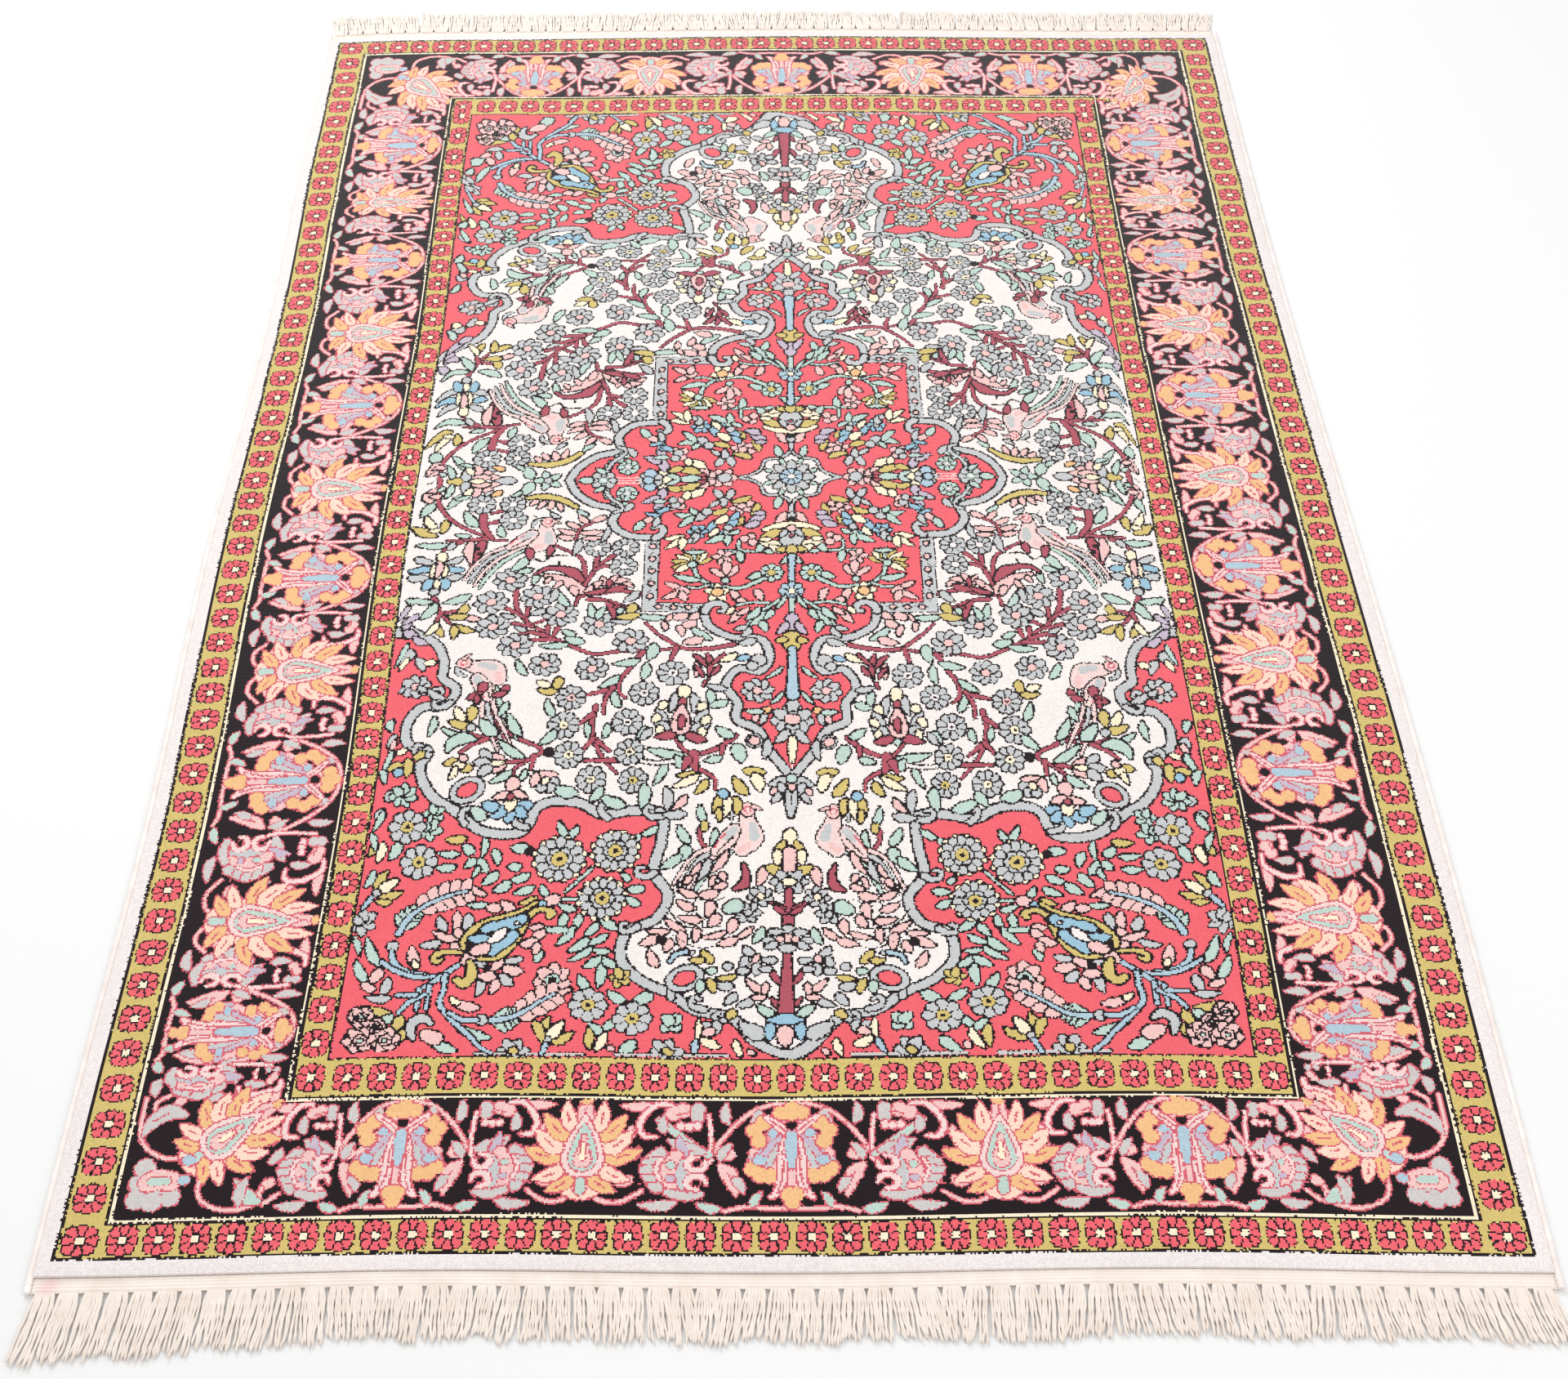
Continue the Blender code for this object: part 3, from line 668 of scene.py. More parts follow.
leaves(near, MINT, 287, -1, 60, 20, 12, 296, 7, 40, 12, 5, 368, 2, 75, 22, 7, 361, 18, 60, 24, 8,
       352, 12, 20, 14, 5, 386, 31, 80, 21, 11, 340, 45, -60, 26, 11, 307, 65, -75, 16, 8,
       346, 71, -8, 14, 6, 375, 86, 3, 26, 9, 386, -18, 70, 20, 9, 284, 116, 55, 24, 10,
       278, 126, 20, 14, 7, 267, 139, 80, 16, 7, 236, 168, -62, 26, 8, 341, 169, 25, 26, 10,
       377, 170, -12, 24, 8, 367, 187, 60, 24, 10, 219, 230, -20, 18, 10, 238, 237, 5, 26, 8,
       226, 219, -30, 14, 7, 226, 36, -40, 14, 6, 148, 194, -5, 28, 8, 97, 216, -40, 26, 9,
       143, 245, 80, 22, 11, 204, 188, -70, 22, 9, 196, 190, -110, 18, 7, 376, -2, 40, 8, 5)
leaves(near, GREY, 357, 88, 60, 12, 7, 201, 71, 75, 22, 6, 229, 90, 80, 24, 8, 168, 166, 50, 18, 9,
       259, 189, 30, 14, 8, 246, 165, 80, 20, 7, 288, 194, -20, 14, 6,
       273, 213, -30, 12, 6, 51, 227, 20, 16, 9, 176, 202, 0, 18, 6, 254, 40, -40, 12, 5)
leaves(near, LILAC, 390, 187, 75, 18, 8, 386, 205, 100, 18, 8, 383, 196, 40, 14, 8, 380, 218, -40, 18, 8,
       371, 228, -40, 16, 9)
leaves(near, PINK, 210, 46, 30, 16, 7, 224, 46, -50, 14, 7, 234, 55, -30, 16, 7, 217, 66, 5, 24, 7,
       240, 65, -20, 18, 7, 215, 75, 0, 18, 6, 241, 74, -15, 16, 7, 386, 4, 60, 12, 8,
       386, 14, 110, 12, 8, 380, 9, 10, 10, 6, 324, 196, -20, 16, 8, 106, 194, 60, 14, 8,
       120, 193, 20, 15, 10, 110, 204, 30, 14, 10, 117, 214, 110, 14, 7, 104, 227, 20, 18, 10,
       133, 208, 100, 12, 6, 130, 196, 60, 10, 5)
branch(214, 51, 226, 60, 231, 78, half=(1.2,))
brush(near, xy(233, 28, 247, 17, 266, 11, 285, 13), [2.2, 3.2, 3.8, 2], GOLD)
leaves(near, PINK, 250, 28, 110, 13, 6, 260, 25, 80, 13, 7, 270, 24, 60, 12, 6, 278, 20, 50, 10, 6)
leaves(near, GOLD, 367, 58, 85, 18, 9, 383, 66, -32, 22, 9, 334, 186, 70, 16, 9, 338, 194, 0, 18, 8,
       330, 211, -28, 22, 8, 339, 217, 95, 18, 8, 353, 212, -70, 20, 7, 167, 184, 70, 14, 10,
       170, 194, 10, 22, 9)
leaves(near, CREAM, 380, 52, -60, 22, 8, 361, 212, 60, 20, 7, 376, 63, 10, 10, 6)
leaves(near, WINE, 187, 186, 110, 26, 7, 178, 181, 0, 12, 4)
leaves(near, MINT, 178, 187, 80, 8, 6)

# a pendant palmette, the two wine palms and the blue tulip
brush(near, xy(325, 84, 328, 96, 333, 117), [4, 5, 1.5], WINE)
brush(near, xy(337, 84, 338, 96, 334, 112), [3, 5, 1.5], PINK)
dots(near, BLACK, 329, 92, 1.2, 326, 100, 1.2)
brush(near, xy(222, 141, 230, 129, 241, 124, 256, 123, 266, 131), [5, 6, 3.4, 2, 1.2], WINE)
brush(near, xy(222, 156, 230, 146, 242, 138, 256, 134), [7, 6, 4, 2], PINK, BLACK)
leaves(near, PINK, 226, 158, 110, 14, 8, 243, 148, 60, 12, 6, 254, 141, 60, 10, 5)
for x, y, turn in ((174, 148, 150), (180, 142, 190), (188, 140, 240), (192, 150, 330), (196, 142, 300),
                   (182, 152, 200), (203, 148, 230), (210, 156, 250)):
    leaves(near, PINK, x, y, turn, 14, 7)
leaves(near, WINE, 185, 154, 20, 20, 8, 204, 158, 20, 22, 6, 192, 146, 90, 10, 5)
for side in (-1, 1):
    leaves(near, GREY, 365.5 + side * 14, 110, -side * 30, 18, 8, 365.5 + side * 15, 136, -side * 15, 19, 9)
    leaves(near, BLUE, 365.5 + side * 16, 123, side * 10, 17, 9,
           365.5 + side * 8.5, 147, 90 - side * 20, 16, 11)
    leaves(near, CREAM, 365.5 + side * 6, 127, 90, 20, 5)
leaves(near, CREAM, 365, 106, 90, 14, 10, 365, 148, 90, 16, 6)
leaves(near, PINK, 366, 124, 90, 24, 7)
dots(near, GREY, 365, 158, 4.5)


def bird(here, tail):
    """A bird in profile: long thin plumes, pale round breast washed with grey, folded wing, head with a rose
    eye. Its head is down at -25 and its tail runs up through the given points."""
    for k, (shade, width) in enumerate(((MINT, 2.0), (BLUSH, 1.6), (GREY, 1.8), (BLUSH, 1.4))):
        points = [12 + 12j + 3 * k - 2j * k, *(complex(a, b) + 5.5 * k - 4.5j * k for a, b in tail)]
        brush(here, points, [2.4, width, width, 0.8], shade, BLACK, 0.8)
    brush(here, xy(-2, -24, -2, -10, -1, 4, 8, 15), [5, 8, 13, 7], BLUSH, BLACK, 0.9)
    brush(here, xy(-6, -8, -6, 4), [3.5, 5], GREY, None)
    brush(here, xy(2, 12, 10, 16), [3.5, 3], PINK, None)
    brush(here, xy(12, -6, 20, 3, 33, 14), [6, 8, 4], BLUSH, BLACK, 0.9)
    brush(here, xy(12, -6, 20, 0), [4, 4], GREY, None)
    brush(here, xy(14, 1, 22, 7, 32, 15), [0.8], BLACK, None)
    brush(here, xy(20, -4, 27, 2, 33, 9), [0.8], ROSE, None)
    spot(here, -4 - 25j, 6.5, 7, 0, PINK, BLACK, 0.9)
    brush(here, xy(-10, -27, -17, -23), [1.8, 0.5], PINK, BLACK, 0.8)
    spot(here, -4 - 25j, 2.2, 2.4, 0, BLUSH, ROSE, 0.8)
    brush(here, xy(4, -30, 10, -26, 12, -18), [1.6, 2.2, 1.2], GREY, BLACK, 0.8)


bird(placed(near(264 + 76j)), ((44, 44), (56, 66), (60, 78)))
bird(placed(near(300 + 272j), 75), ((40, 30), (56, 44), (70, 56)))
bird(placed(near(38 + 468j), 12), ((40, 30), (52, 44), (62, 58)))
leaves(near, WINE, 256, 96, 80, 14, 7, 276, 101, 100, 16, 8)
brush(near, xy(238, 103, 250, 103, 256, 106, 261, 112, 270, 108), [1.2], BLACK, None)
brush(near, xy(244, 112, 245, 118), [1.2], BLACK, None)
brush(near, xy(276, 40, 272, 46, 278, 50), [0.7], BLACK, None)

# in the finial: stem, star flowers, tulip and tail
brush(field, xy(0, 250, 0, 285, 0, 308), [3, 4, 6], SKY)
for x, y, turn, long in ((23, 268, 45, 20), (20, 301, 55, 18)):
    leaves(near, MINT, x, y, turn, long, 4)
star_rose(38, 292, 15)
star_rose(6, 328, 18)
leaves(near, GREY, 7, 311, 90, 12, 8, 13, 350, 55, 18, 9, 32, 328, 85, 15, 6)
leaves(near, ORANGE, 30, 317, 20, 9, 7)
leaves(near, MINT, 40, 319, 0, 15, 6)
leaves(near, PINK, 39, 329, 80, 8, 6)
leaves(near, CREAM, 4, 366, 92, 30, 9)
dots(near, GREY, 38, 357, 7)
dots(near, PINK, 38, 357, 4.5)

# ivory ground, the near side of the medallion
for x, y, reach, heart in ((120, 273, 15, IVORY), (145, 302, 14, IVORY), (158, 340, 14.5, IVORY),
                           (153, 378, 13.5, CREAM), (147, 412, 13, GOLD), (187, 411, 14, CREAM),
                           (215, 308, 14, PINK), (219, 344, 15, CREAM), (211, 381, 14, CREAM)):
    grey_rose(x, y, reach, heart=heart, dot=BLACK)
for x, y in ((198, 270), (244, 264), (367, 293)):
    star_rose(x, y, 15)
leaves(near, MINT, 147, 273, 85, 22, 9, 166, 260, 15, 24, 9, 180, 287, 40, 22, 8, 171, 310, -70, 20, 8,
       178, 352, 80, 16, 7, 196, 351, 100, 16, 6, 120, 376, -8, 32, 9, 106, 386, -60, 14, 9,
       123, 402, 72, 28, 7, 137, 430, 85, 25, 11, 165, 436, -25, 26, 11, 181, 429, 60, 18, 9,
       52, 374, 110, 20, 13, 66, 347, -35, 18, 9, 75, 381, 20, 15, 7, 82, 305, 100, 18, 8,
       74, 312, 25, 17, 8, 81, 447, -75, 20, 7, 97, 471, -60, 20, 9, 70, 474, 80, 18, 6,
       267, 268, -62, 22, 8, 234, 321, -70, 22, 8, 233, 360, 50, 20, 9, 266, 343, -62, 28, 9,
       279, 324, 70, 17, 7, 291, 346, -50, 24, 12, 327, 353, -30, 20, 6, 346, 346, 82, 24, 7,
       267, 373, -40, 32, 9, 273, 408, 35, 22, 8, 289, 450, -45, 18, 11, 211, 424, -20, 23, 12,
       252, 406, 80, 12, 5, 129, 470, 35, 18, 7, 207, 470, -60, 20, 7, 199, 474, 60, 16, 6,
       141, 478, 30, 10, 6, 144, 353, 60, 15, 7)
brush(near, xy(303, 362, 314, 361, 324, 368, 327, 378), [2, 6, 5, 1], MINT)
brush(near, xy(112, 387, 126, 390, 141, 389), [1.6], IVORY, BLACK, 0.9)
leaves(near, GREY, 27, 367, 85, 22, 8, 77, 290, -12, 18, 7, 115, 433, 95, 26, 9, 107, 449, 8, 20, 9,
       140, 355, 60, 16, 7, 366, 263, 115, 18, 9, 383, 364, 100, 16, 9, 348, 302, -35, 24, 7,
       360, 296, -35, 10, 6)
leaves(near, PINK, 98, 268, 95, 18, 7, 103, 436, 55, 19, 7, 231, 404, -5, 20, 8, 241, 412, 80, 15, 8,
       382, 370, 80, 14, 6)
leaves(near, WINE, 87, 262, 96, 34, 6, 79, 252, 50, 20, 5, 95, 255, 130, 20, 5, 80, 268, 60, 16, 4,
       95, 270, 120, 16, 4)
brush(near, xy(88, 283, 90, 290), [1.4, 0.8], WINE, BLACK, 0.8)
dots(near, GREY, 38, 252, 7, 44, 260, 5, 222, 414, 4.5, 225, 421, 4.5, 233, 421, 4.5, 380, 249, 5,
     376, 431, 5.5, 384, 449, 6)
leaves(near, BLUE, 54, 249, 20, 12, 7)
leaves(near, CREAM, 68, 249, 35, 18, 8, 231, 413, 60, 8, 6, 357, 260, 20, 9, 8, 383, 261, 80, 11, 8,
       372, 377, 20, 12, 6, 382, 383, 80, 14, 7)
leaves(near, GOLD, 97, 402, 8, 20, 8, 84, 416, 60, 18, 8, 37, 394, -5, 18, 10, 48, 412, -55, 22, 10,
       51, 436, 100, 18, 9, 69, 436, 80, 18, 8, 66, 448, 100, 14, 7, 79, 462, 90, 10, 7,
       230, 290, 80, 15, 9, 239, 299, -5, 17, 8, 309, 330, 88, 18, 10, 320, 342, -18, 20, 9,
       308, 397, 0, 11, 8, 323, 391, 20, 11, 8, 354, 383, 45, 10, 8, 363, 398, 95, 20, 9,
       376, 395, 10, 14, 8, 307, 480, 5, 18, 8)
leaves(near, CREAM, 99, 410, 35, 26, 8, 33, 408, 110, 20, 11, 60, 437, 88, 24, 8, 243, 290, -20, 13, 8,
       320, 329, -60, 18, 9, 315, 394, 0, 9, 8, 319, 404, 70, 14, 6)
dots(near, BLUE, 63, 423, 4.5, 371, 403, 4.5)
dots(near, GREY, 307, 347, 4)
dots(near, PINK, 311, 386, 3.5)
dots(near, BLACK, 230, 378, 4)
branch(93, 377, 93, 385, 90, 395, half=(5, 5, 2))
branch(98, 384, 102, 396, half=(4, 1.5))
petals(near, 363, 430, 7, 8, 11, 8, MINT, 10)
petals(near, 331, 451, 5, 6, 9, 7, MINT)
petals(near, 333, 470, 5, 7, 10, 8, MINT, 30)

# the iris, the lily on the axis, the blue fan and the parti-coloured flower
for side in (-1, 1):
    leaves(near, GREY, 107 + side * 10, 313, 90 - side * 8, 24, 8,
           107.5 + side * 18.5, 329, -side * 55, 18, 9, 107 + side * 17, 342, -side * 28, 20, 10)
    leaves(near, CREAM, 108 + side * 18.5, 317, 60, 9, 8, 108 + side * 23.5, 334, 60, 10, 8,
           107 + side * 20, 350, 90, 12, 7)
    leaves(near, WINE, 107 + side * 12.5, 354, side * 22, 23, 9)
leaves(near, CREAM, 108, 299, 90, 16, 12)
leaves(near, WINE, 108, 313, 90, 12, 7)
brush(near, xy(107, 318, 107, 330, 107, 342, 107, 352), [2, 7, 9, 2], PINK)
leaves(near, WINE, 107, 338, 90, 17, 7)
dots(near, MINT, 105, 358, 3)
leaves(near, GREY, 14, 405, 30, 18, 9, 11, 416, 100, 16, 8, 15, 425, 60, 12, 6)
brush(near, xy(1, 418, 0, 430, 0, 446), [5, 6, 2], GREY)
brush(near, xy(0, 422, 0, 432), [1.2], BLACK, None)
leaves(near, PINK, 1, 409, 90, 14, 10, 18, 417, 60, 8, 5)
leaves(near, CREAM, 0, 473, 90, 20, 13)
leaves(near, GOLD, 9, 484, 60, 18, 8)
dots(near, MINT, 2, 401, 4)
for x, y, turn in ((246, 443, 200), (250, 451, 150), (261, 454, 90), (271, 450, 40), (279, 442, -20)):
    leaves(near, BLUE, x, y, turn, 14, 11)
leaves(near, PINK, 261, 418, 90, 12, 13, 253, 430, 160, 15, 8, 270, 430, 20, 15, 8)
leaves(near, CREAM, 261, 441, 90, 14, 11)
dots(near, WINE, 261, 432, 3)
leaves(near, PINK, 279, 383, -30, 17, 8, 279, 397, 25, 18, 8)
leaves(near, CREAM, 281, 390, 0, 16, 6)
leaves(near, GREY, 290, 380, -50, 14, 10, 293, 390, 0, 14, 10, 290, 400, 50, 14, 10)
leaves(near, WINE, 302, 296, 90, 12, 9, 281, 299, 60, 12, 7, 285, 304, 20, 12, 7, 309, 306, 30, 14, 8,
       306, 311, 90, 12, 5)

# the vase on the axis, its trunk and the pinks and leaves about it
leaves(near, CREAM, 10, 494, 90, 15, 9)
leaves(near, GOLD, 12, 507, -25, 14, 10)
brush(near, xy(-2, 488, -2, 500, -2, 511), [6, 6, 5], PINK)
petals(near, 1, 521, 6, 8, 11, 9, GREY)
dots(near, CREAM, 0, 521, 3.5)
brush(near, xy(-3, 531, -3, 545, -3, 552, -3, 569), [3.2, 3.2, 5, 4], WINE)
brush(near, xy(2, 551, 10, 546, 20, 543), [1.6, 0.7], WINE)
leaves(near, WINE, 5, 552, -40, 14, 5, 6, 622, -62, 20, 5, 4, 650, -50, 14, 5)
brush(near, xy(-4, 600, -3, 620, -2, 642, -2, 661), [2.6, 2.6, 2.8, 3.4], WINE)
dots(near, GREY, -3, 574, 5)
dots(near, PINK, -3, 583, 4, 3, 584, 3)
leaves(near, GREY, -4, 593, 0, 15, 10, 8, 576, 0, 12, 7, 14, 585, -10, 11, 7, 11, 591, 30, 11, 7,
       30, 597, -50, 13, 8, 12, 606, 0, 12, 7, 34, 608, 60, 10, 8, 23, 616, 90, 11, 9, 35, 617, 0, 9, 8,
       15, 615, 0, 9, 7, 86, 598, 0, 14, 5, 51, 632, -10, 15, 9, 31, 650, 20, 14, 8, 45, 646, 50, 13, 8,
       76, 511, 72, 24, 7, 24, 676, -30, 26, 14)
brush(near, xy(-12, 667, 0, 667, 8, 669), [5, 5, 3], BLUE)
leaves(near, BLUE, 9, 679, 88, 16, 9)
leaves(near, PINK, -4, 684, 90, 17, 14)
petals(near, 23, 538, 7, 7, 9, 7, GREY, 10)
dots(near, CREAM, 23, 538, 3)
petals(near, 33, 556, 6, 6.5, 10, 8, GREY)
dots(near, GREY, 33, 557, 3, 48, 613, 4, 26, 606, 3)
leaves(near, MINT, 48, 550, 30, 16, 14, 23, 581, 65, 17, 8, 63, 617, 0, 8, 7, 72, 634, 90, 12, 8,
       13, 657, -35, 17, 9, 96, 493, 70, 16, 11, 107, 503, 42, 21, 9)
brush(near, xy(40, 503, 37, 515, 39, 526, 47, 531), [1, 3, 4, 1.2], WINE)
leaves(near, PINK, 24, 516, 80, 20, 9, 62, 501, 62, 26, 7, 84, 511, 62, 16, 5, 90, 523, 60, 9, 6,
       58, 518, 110, 9, 6, 67, 523, 70, 10, 7, 60, 528, 20, 11, 7, 70, 537, 12, 16, 9,
       88, 536, -25, 17, 7, 68, 553, 80, 16, 9, 89, 549, -25, 18, 8, 84, 563, -6, 20, 8,
       63, 565, 60, 13, 9, 47, 571, 80, 14, 9, 98, 570, -30, 21, 7, 36, 579, 40, 19, 6,
       50, 587, 18, 17, 9, 62, 580, 16, 21, 6, 79, 580, 85, 15, 7, 91, 586, 100, 16, 9,
       113, 577, 0, 18, 7, 120, 587, 30, 17, 10, 103, 592, 70, 12, 8, 115, 605, -62, 17, 8,
       24, 632, -42, 20, 7, 15, 636, 80, 12, 6, 20, 644, 0, 12, 6, 24, 605, 60, 9, 5)
dots(near, BLACK, 109, 586, 3.5, 96, 528, 2.5)
dots(near, IVORY, 96, 528, 1.2, 62, 523, 1.6)
brush(near, xy(57, 571, 72, 573, 86, 572, 100, 561, 106, 552), [0.8], BLACK, None)
brush(near, xy(55, 541, 66, 545, 80, 544, 82, 553, 74, 564, 72, 572), [0.6], BLACK, None)
brush(near, xy(98, 581, 84, 590, 72, 594, 58, 591), [0.6], BLACK, None)
leaves(near, GOLD, 67, 602, -55, 15, 9, 76, 606, 0, 12, 7, 49, 624, 8, 16, 6, 62, 633, 110, 14, 8,
       44, 661, 45, 9, 8)
brush(near, xy(86, 598, 96, 601, 100, 608), [2.2, 2.2, 1.2], SKY)


# ---- The coral corners -------------------------------------------------------------
# The coral ground outside the ivory is sown with small leaves and round flowers. Each corner holds a cluster
# of pink rosettes, a gold boteh with blue lobes, two sickle leaves and the sky-blue vines that join them.
leaves(near, MINT, 137, 533, 5, 15, 8, 139, 546, -25, 15, 8, 146, 521, -45, 9, 6, 159, 568, -42, 22, 9,
       173, 576, 50, 15, 8, 167, 586, 28, 19, 7, 184, 592, 38, 20, 9, 187, 569, 75, 15, 7,
       196, 583, 52, 22, 8, 163, 597, -5, 17, 6, 181, 601, 33, 23, 7, 155, 608, -38, 16, 8,
       170, 609, 32, 17, 9, 162, 623, 86, 21, 9, 176, 629, -55, 17, 9, 200, 568, 80, 14, 8,
       123, 644, 25, 17, 11, 134, 651, 0, 12, 9, 146, 642, -35, 17, 9, 137, 693, 38, 21, 11,
       153, 671, 45, 12, 8, 164, 673, -40, 13, 9, 246, 490, 0, 15, 10, 267, 501, 110, 16, 8,
       280, 490, 90, 20, 6, 294, 491, -45, 13, 9, 312, 496, -4, 19, 7, 291, 507, 45, 11, 8,
       278, 509, -62, 16, 9, 313, 511, 0, 17, 8, 249, 511, 0, 11, 8, 243, 523, 25, 18, 8,
       270, 524, 48, 17, 9, 219, 536, -60, 12, 7, 238, 536, 25, 17, 8, 258, 533, 35, 17, 9,
       364, 493, 70, 18, 10, 284, 517, 70, 12, 5, 197, 553, -18, 16, 7, 279, 551, 0, 17, 6,
       220, 603, 80, 13, 8, 372, 597, -64, 30, 9, 381, 616, -64, 23, 10, 276, 677, -22, 34, 9,
       301, 691, -32, 26, 11, 256, 562, 0, 4, 3)
petals(near, 96, 669, 4, 5, 11, 10, MINT, 45)
brush(near, xy(178, 512, 188, 524, 200, 537), [1.3], MINT, BLACK, 1.0)
brush(near, xy(186, 545, 206, 545), [1.3], MINT, BLACK, 1.0)
brush(near, xy(197, 577, 209, 577, 222, 576), [2.6, 2.6, 1.4], MINT, BLACK, 1.0)
dots(near, BLACK, 236, 494, 3.5)
petals(near, 143, 624, 5, 5, 9, 8, GOLD)
leaves(near, GREY, 57, 674, 90, 11, 9, 67, 671, 0, 10, 7, 243, 607, 8, 18, 7, 271, 611, -10, 11, 6,
       247, 626, -45, 14, 9, 271, 634, 78, 18, 8, 287, 569, 80, 15, 9, 310, 570, -62, 15, 9,
       319, 591, 12, 18, 8, 357, 633, 75, 16, 9, 363, 643, -3, 21, 8)
leaves(near, PINK, 64, 678, 20, 11, 8, 213, 546, 20, 15, 11, 251, 552, -35, 13, 9, 264, 554, 0, 11, 9,
       223, 574, 10, 11, 7, 221, 582, 40, 13, 8, 229, 590, 20, 14, 10, 222, 596, 80, 10, 7,
       243, 616, -15, 19, 10, 257, 612, 50, 14, 9, 265, 623, 0, 14, 10, 258, 634, 70, 13, 8,
       285, 606, 50, 16, 10, 297, 569, 90, 19, 8, 296, 581, 60, 11, 8,
       306, 583, -20, 24, 8, 333, 603, -72, 19, 10, 367, 622, 60, 14, 10, 373, 632, -25, 13, 8,
       283, 651, -15, 25, 9, 312, 681, -20, 20, 14)
leaves(near, CREAM, 63, 688, -30, 17, 9, 73, 676, 85, 18, 5, 41, 695, 75, 17, 7, 160, 688, 60, 22, 8,
       331, 611, -60, 8, 6, 293, 647, -40, 10, 6, 378, 494, 80, 19, 9)
leaves(near, GOLD, 170, 685, 88, 21, 8, 387, 487, 60, 14, 7, 233, 547, 25, 15, 6)
dots(near, PINK, 151, 694, 3.4, 295, 594, 5, 30, 699, 3)
dots(near, BLUE, 220, 551, 4)
dots(near, BLACK, 265, 615, 2.4)
brush(near, xy(313, 669, 320, 664, 328, 667, 331, 676, 328, 684), [2, 4, 4.6, 4, 1.6], GREY)
for x, y, turn in ((206, 686, 235), (376, 537, 215)):
    tulip(x, y, turn)
leaves(near, GOLD, 214, 678, 112, 20, 8, 369, 546, -5, 14, 6)
for x in (103, 237):
    petals(near, x, 698, 6, 8, 12, 10, GREY, 0)
    dots(near, GOLD, x, 698, 4)
petals(near, 386, 566, 6, 8, 12, 9, GREY, 30)
for low, high in ((54, 92), (112, 150), (178, 226), (246, 272)):
    brush(field, xy(low, 702, high, 702), [1.3], SMOKE, BLACK, 0.6)
for low, high in ((246, 352), (380, 412), (446, 484), (508, 596)):
    leaves(field, MINT, 386, low + 8, 70, 20, 7, 388, high - 8, 110, 18, 6)
leaves(near, SKY, 78, 693, 62, 16, 6)

petals(near, 205, 627, 7, 10, 13, 12, PINK, 10)
dots(near, MINT, 205, 627, 6)
dots(near, BLACK, 205, 627, 2)

# the corner cluster
leaves(near, GOLD, 363, 655, -14, 25, 8, 344, 669, 62, 16, 9, 339, 682, 80, 12, 6)
leaves(near, MINT, 356, 665, 28, 16, 9)
dots(near, PINK, 364, 673, 10, 376, 662, 10.5, 353, 685, 12.5, 375, 685, 12.5)
for x, y, reach in ((376, 662, 9.5), (353, 685, 12), (375, 685, 12), (363, 672, 5)):
    petals(near, x, y, 6, reach * 0.62, reach * 0.9, reach * 0.85, PINK, 12)
    dots(near, PINK, x, y, reach * 0.42)
    dots(near, MINT, x, y, reach * 0.14)

# a scrolled gold boteh with blue lobes, and two sickle leaves
area(near(xy(214, 557, 222, 557, 229, 560, 233, 568, 235, 577, 240, 586, 245, 593, 251, 600, 260, 605,
             272, 606, 282, 603, 288, 598, 289, 592, 287, 584, 281, 577, 274, 571, 264, 567, 250, 562,
             238, 557, 228, 555)), BLACK, near(220 + 556j))
brush(near, xy(212, 563, 209, 560, 214, 557, 222, 556, 229, 561, 233, 570, 237, 581, 243, 591, 251, 601,
               262, 606, 274, 606), [2.6, 2, 2.4, 2.2, 2.2, 2.2, 2.4, 2.8, 3, 2.4, 1.2], GOLD)
brush(near, xy(226, 549, 236, 556, 250, 562, 264, 567, 275, 572, 283, 579, 289, 588, 288, 597),
      [1.4, 1.4, 1.8, 2.6, 2.8, 2.8, 2.4, 1.6], GOLD)
brush(near, xy(237, 566, 243, 570, 249, 570, 256, 574, 263, 573, 269, 576), [5, 6, 4.6, 6, 4.4, 4], BLUE)
brush(near, xy(243, 582, 249, 588, 255, 592, 262, 598), [4.4, 5, 5.4, 5.4], BLUE)
leaves(near, BLUE, 275, 585, 0, 19, 10)
leaves(near, IVORY, 259, 583, 42, 20, 9)
leaves(near, PINK, 274, 596, 20, 17, 12)
dots(near, IVORY, 241, 570, 1.4)
brush(near, xy(290, 600, 300, 599, 309, 600, 315, 604, 313, 609, 308, 607), [1.6, 1.8, 2.4, 2.4, 2, 1.6],
      GOLD)
brush(near, xy(282, 609, 279, 617, 280, 626, 286, 631, 292, 627), [2, 4.4, 4.4, 4, 3], GOLD)


def sickle(spine, lobes, long, foot):
    """A curved leaf: pink lobes sweep off both sides of a pale spine, longest halfway along their stretch,
    and four pairs of mint scales close it before its grey foot."""
    spine = smooth(spine, [1])[0]
    along = np.gradient(spine)
    along = along / abs(along)
    for k in range(lobes):
        at = int((k + 0.4) / lobes * 0.62 * len(spine))
        for side in (-1, 1):
            out = along[at] * np.exp(-1j * side * 1.9)
            reach = long * (0.55 + 0.6 * np.sin(np.pi * (k + 1) / (lobes + 1)))
            leaf(near, spine[at] - along[at] * 2, spine[at] + out * reach - along[at] * 5, 11, PINK,
                 bow=0.14 * side, edge=0.9)
    for k in range(4):
        at = int((0.68 + 0.07 * k) * len(spine))
        for side in (-1, 1):
            out = along[at] * np.exp(-1j * side * 2.3)
            leaf(near, spine[at], spine[at] + out * (10 + 2 * k), 7, MINT, bow=0.0, edge=0.9)
    brush(near, spine[::6], [1.2, 1.6, 2, 3], SKY, BLACK, 1.0)
    dots(near, GREY, foot.real, foot.imag, 5)


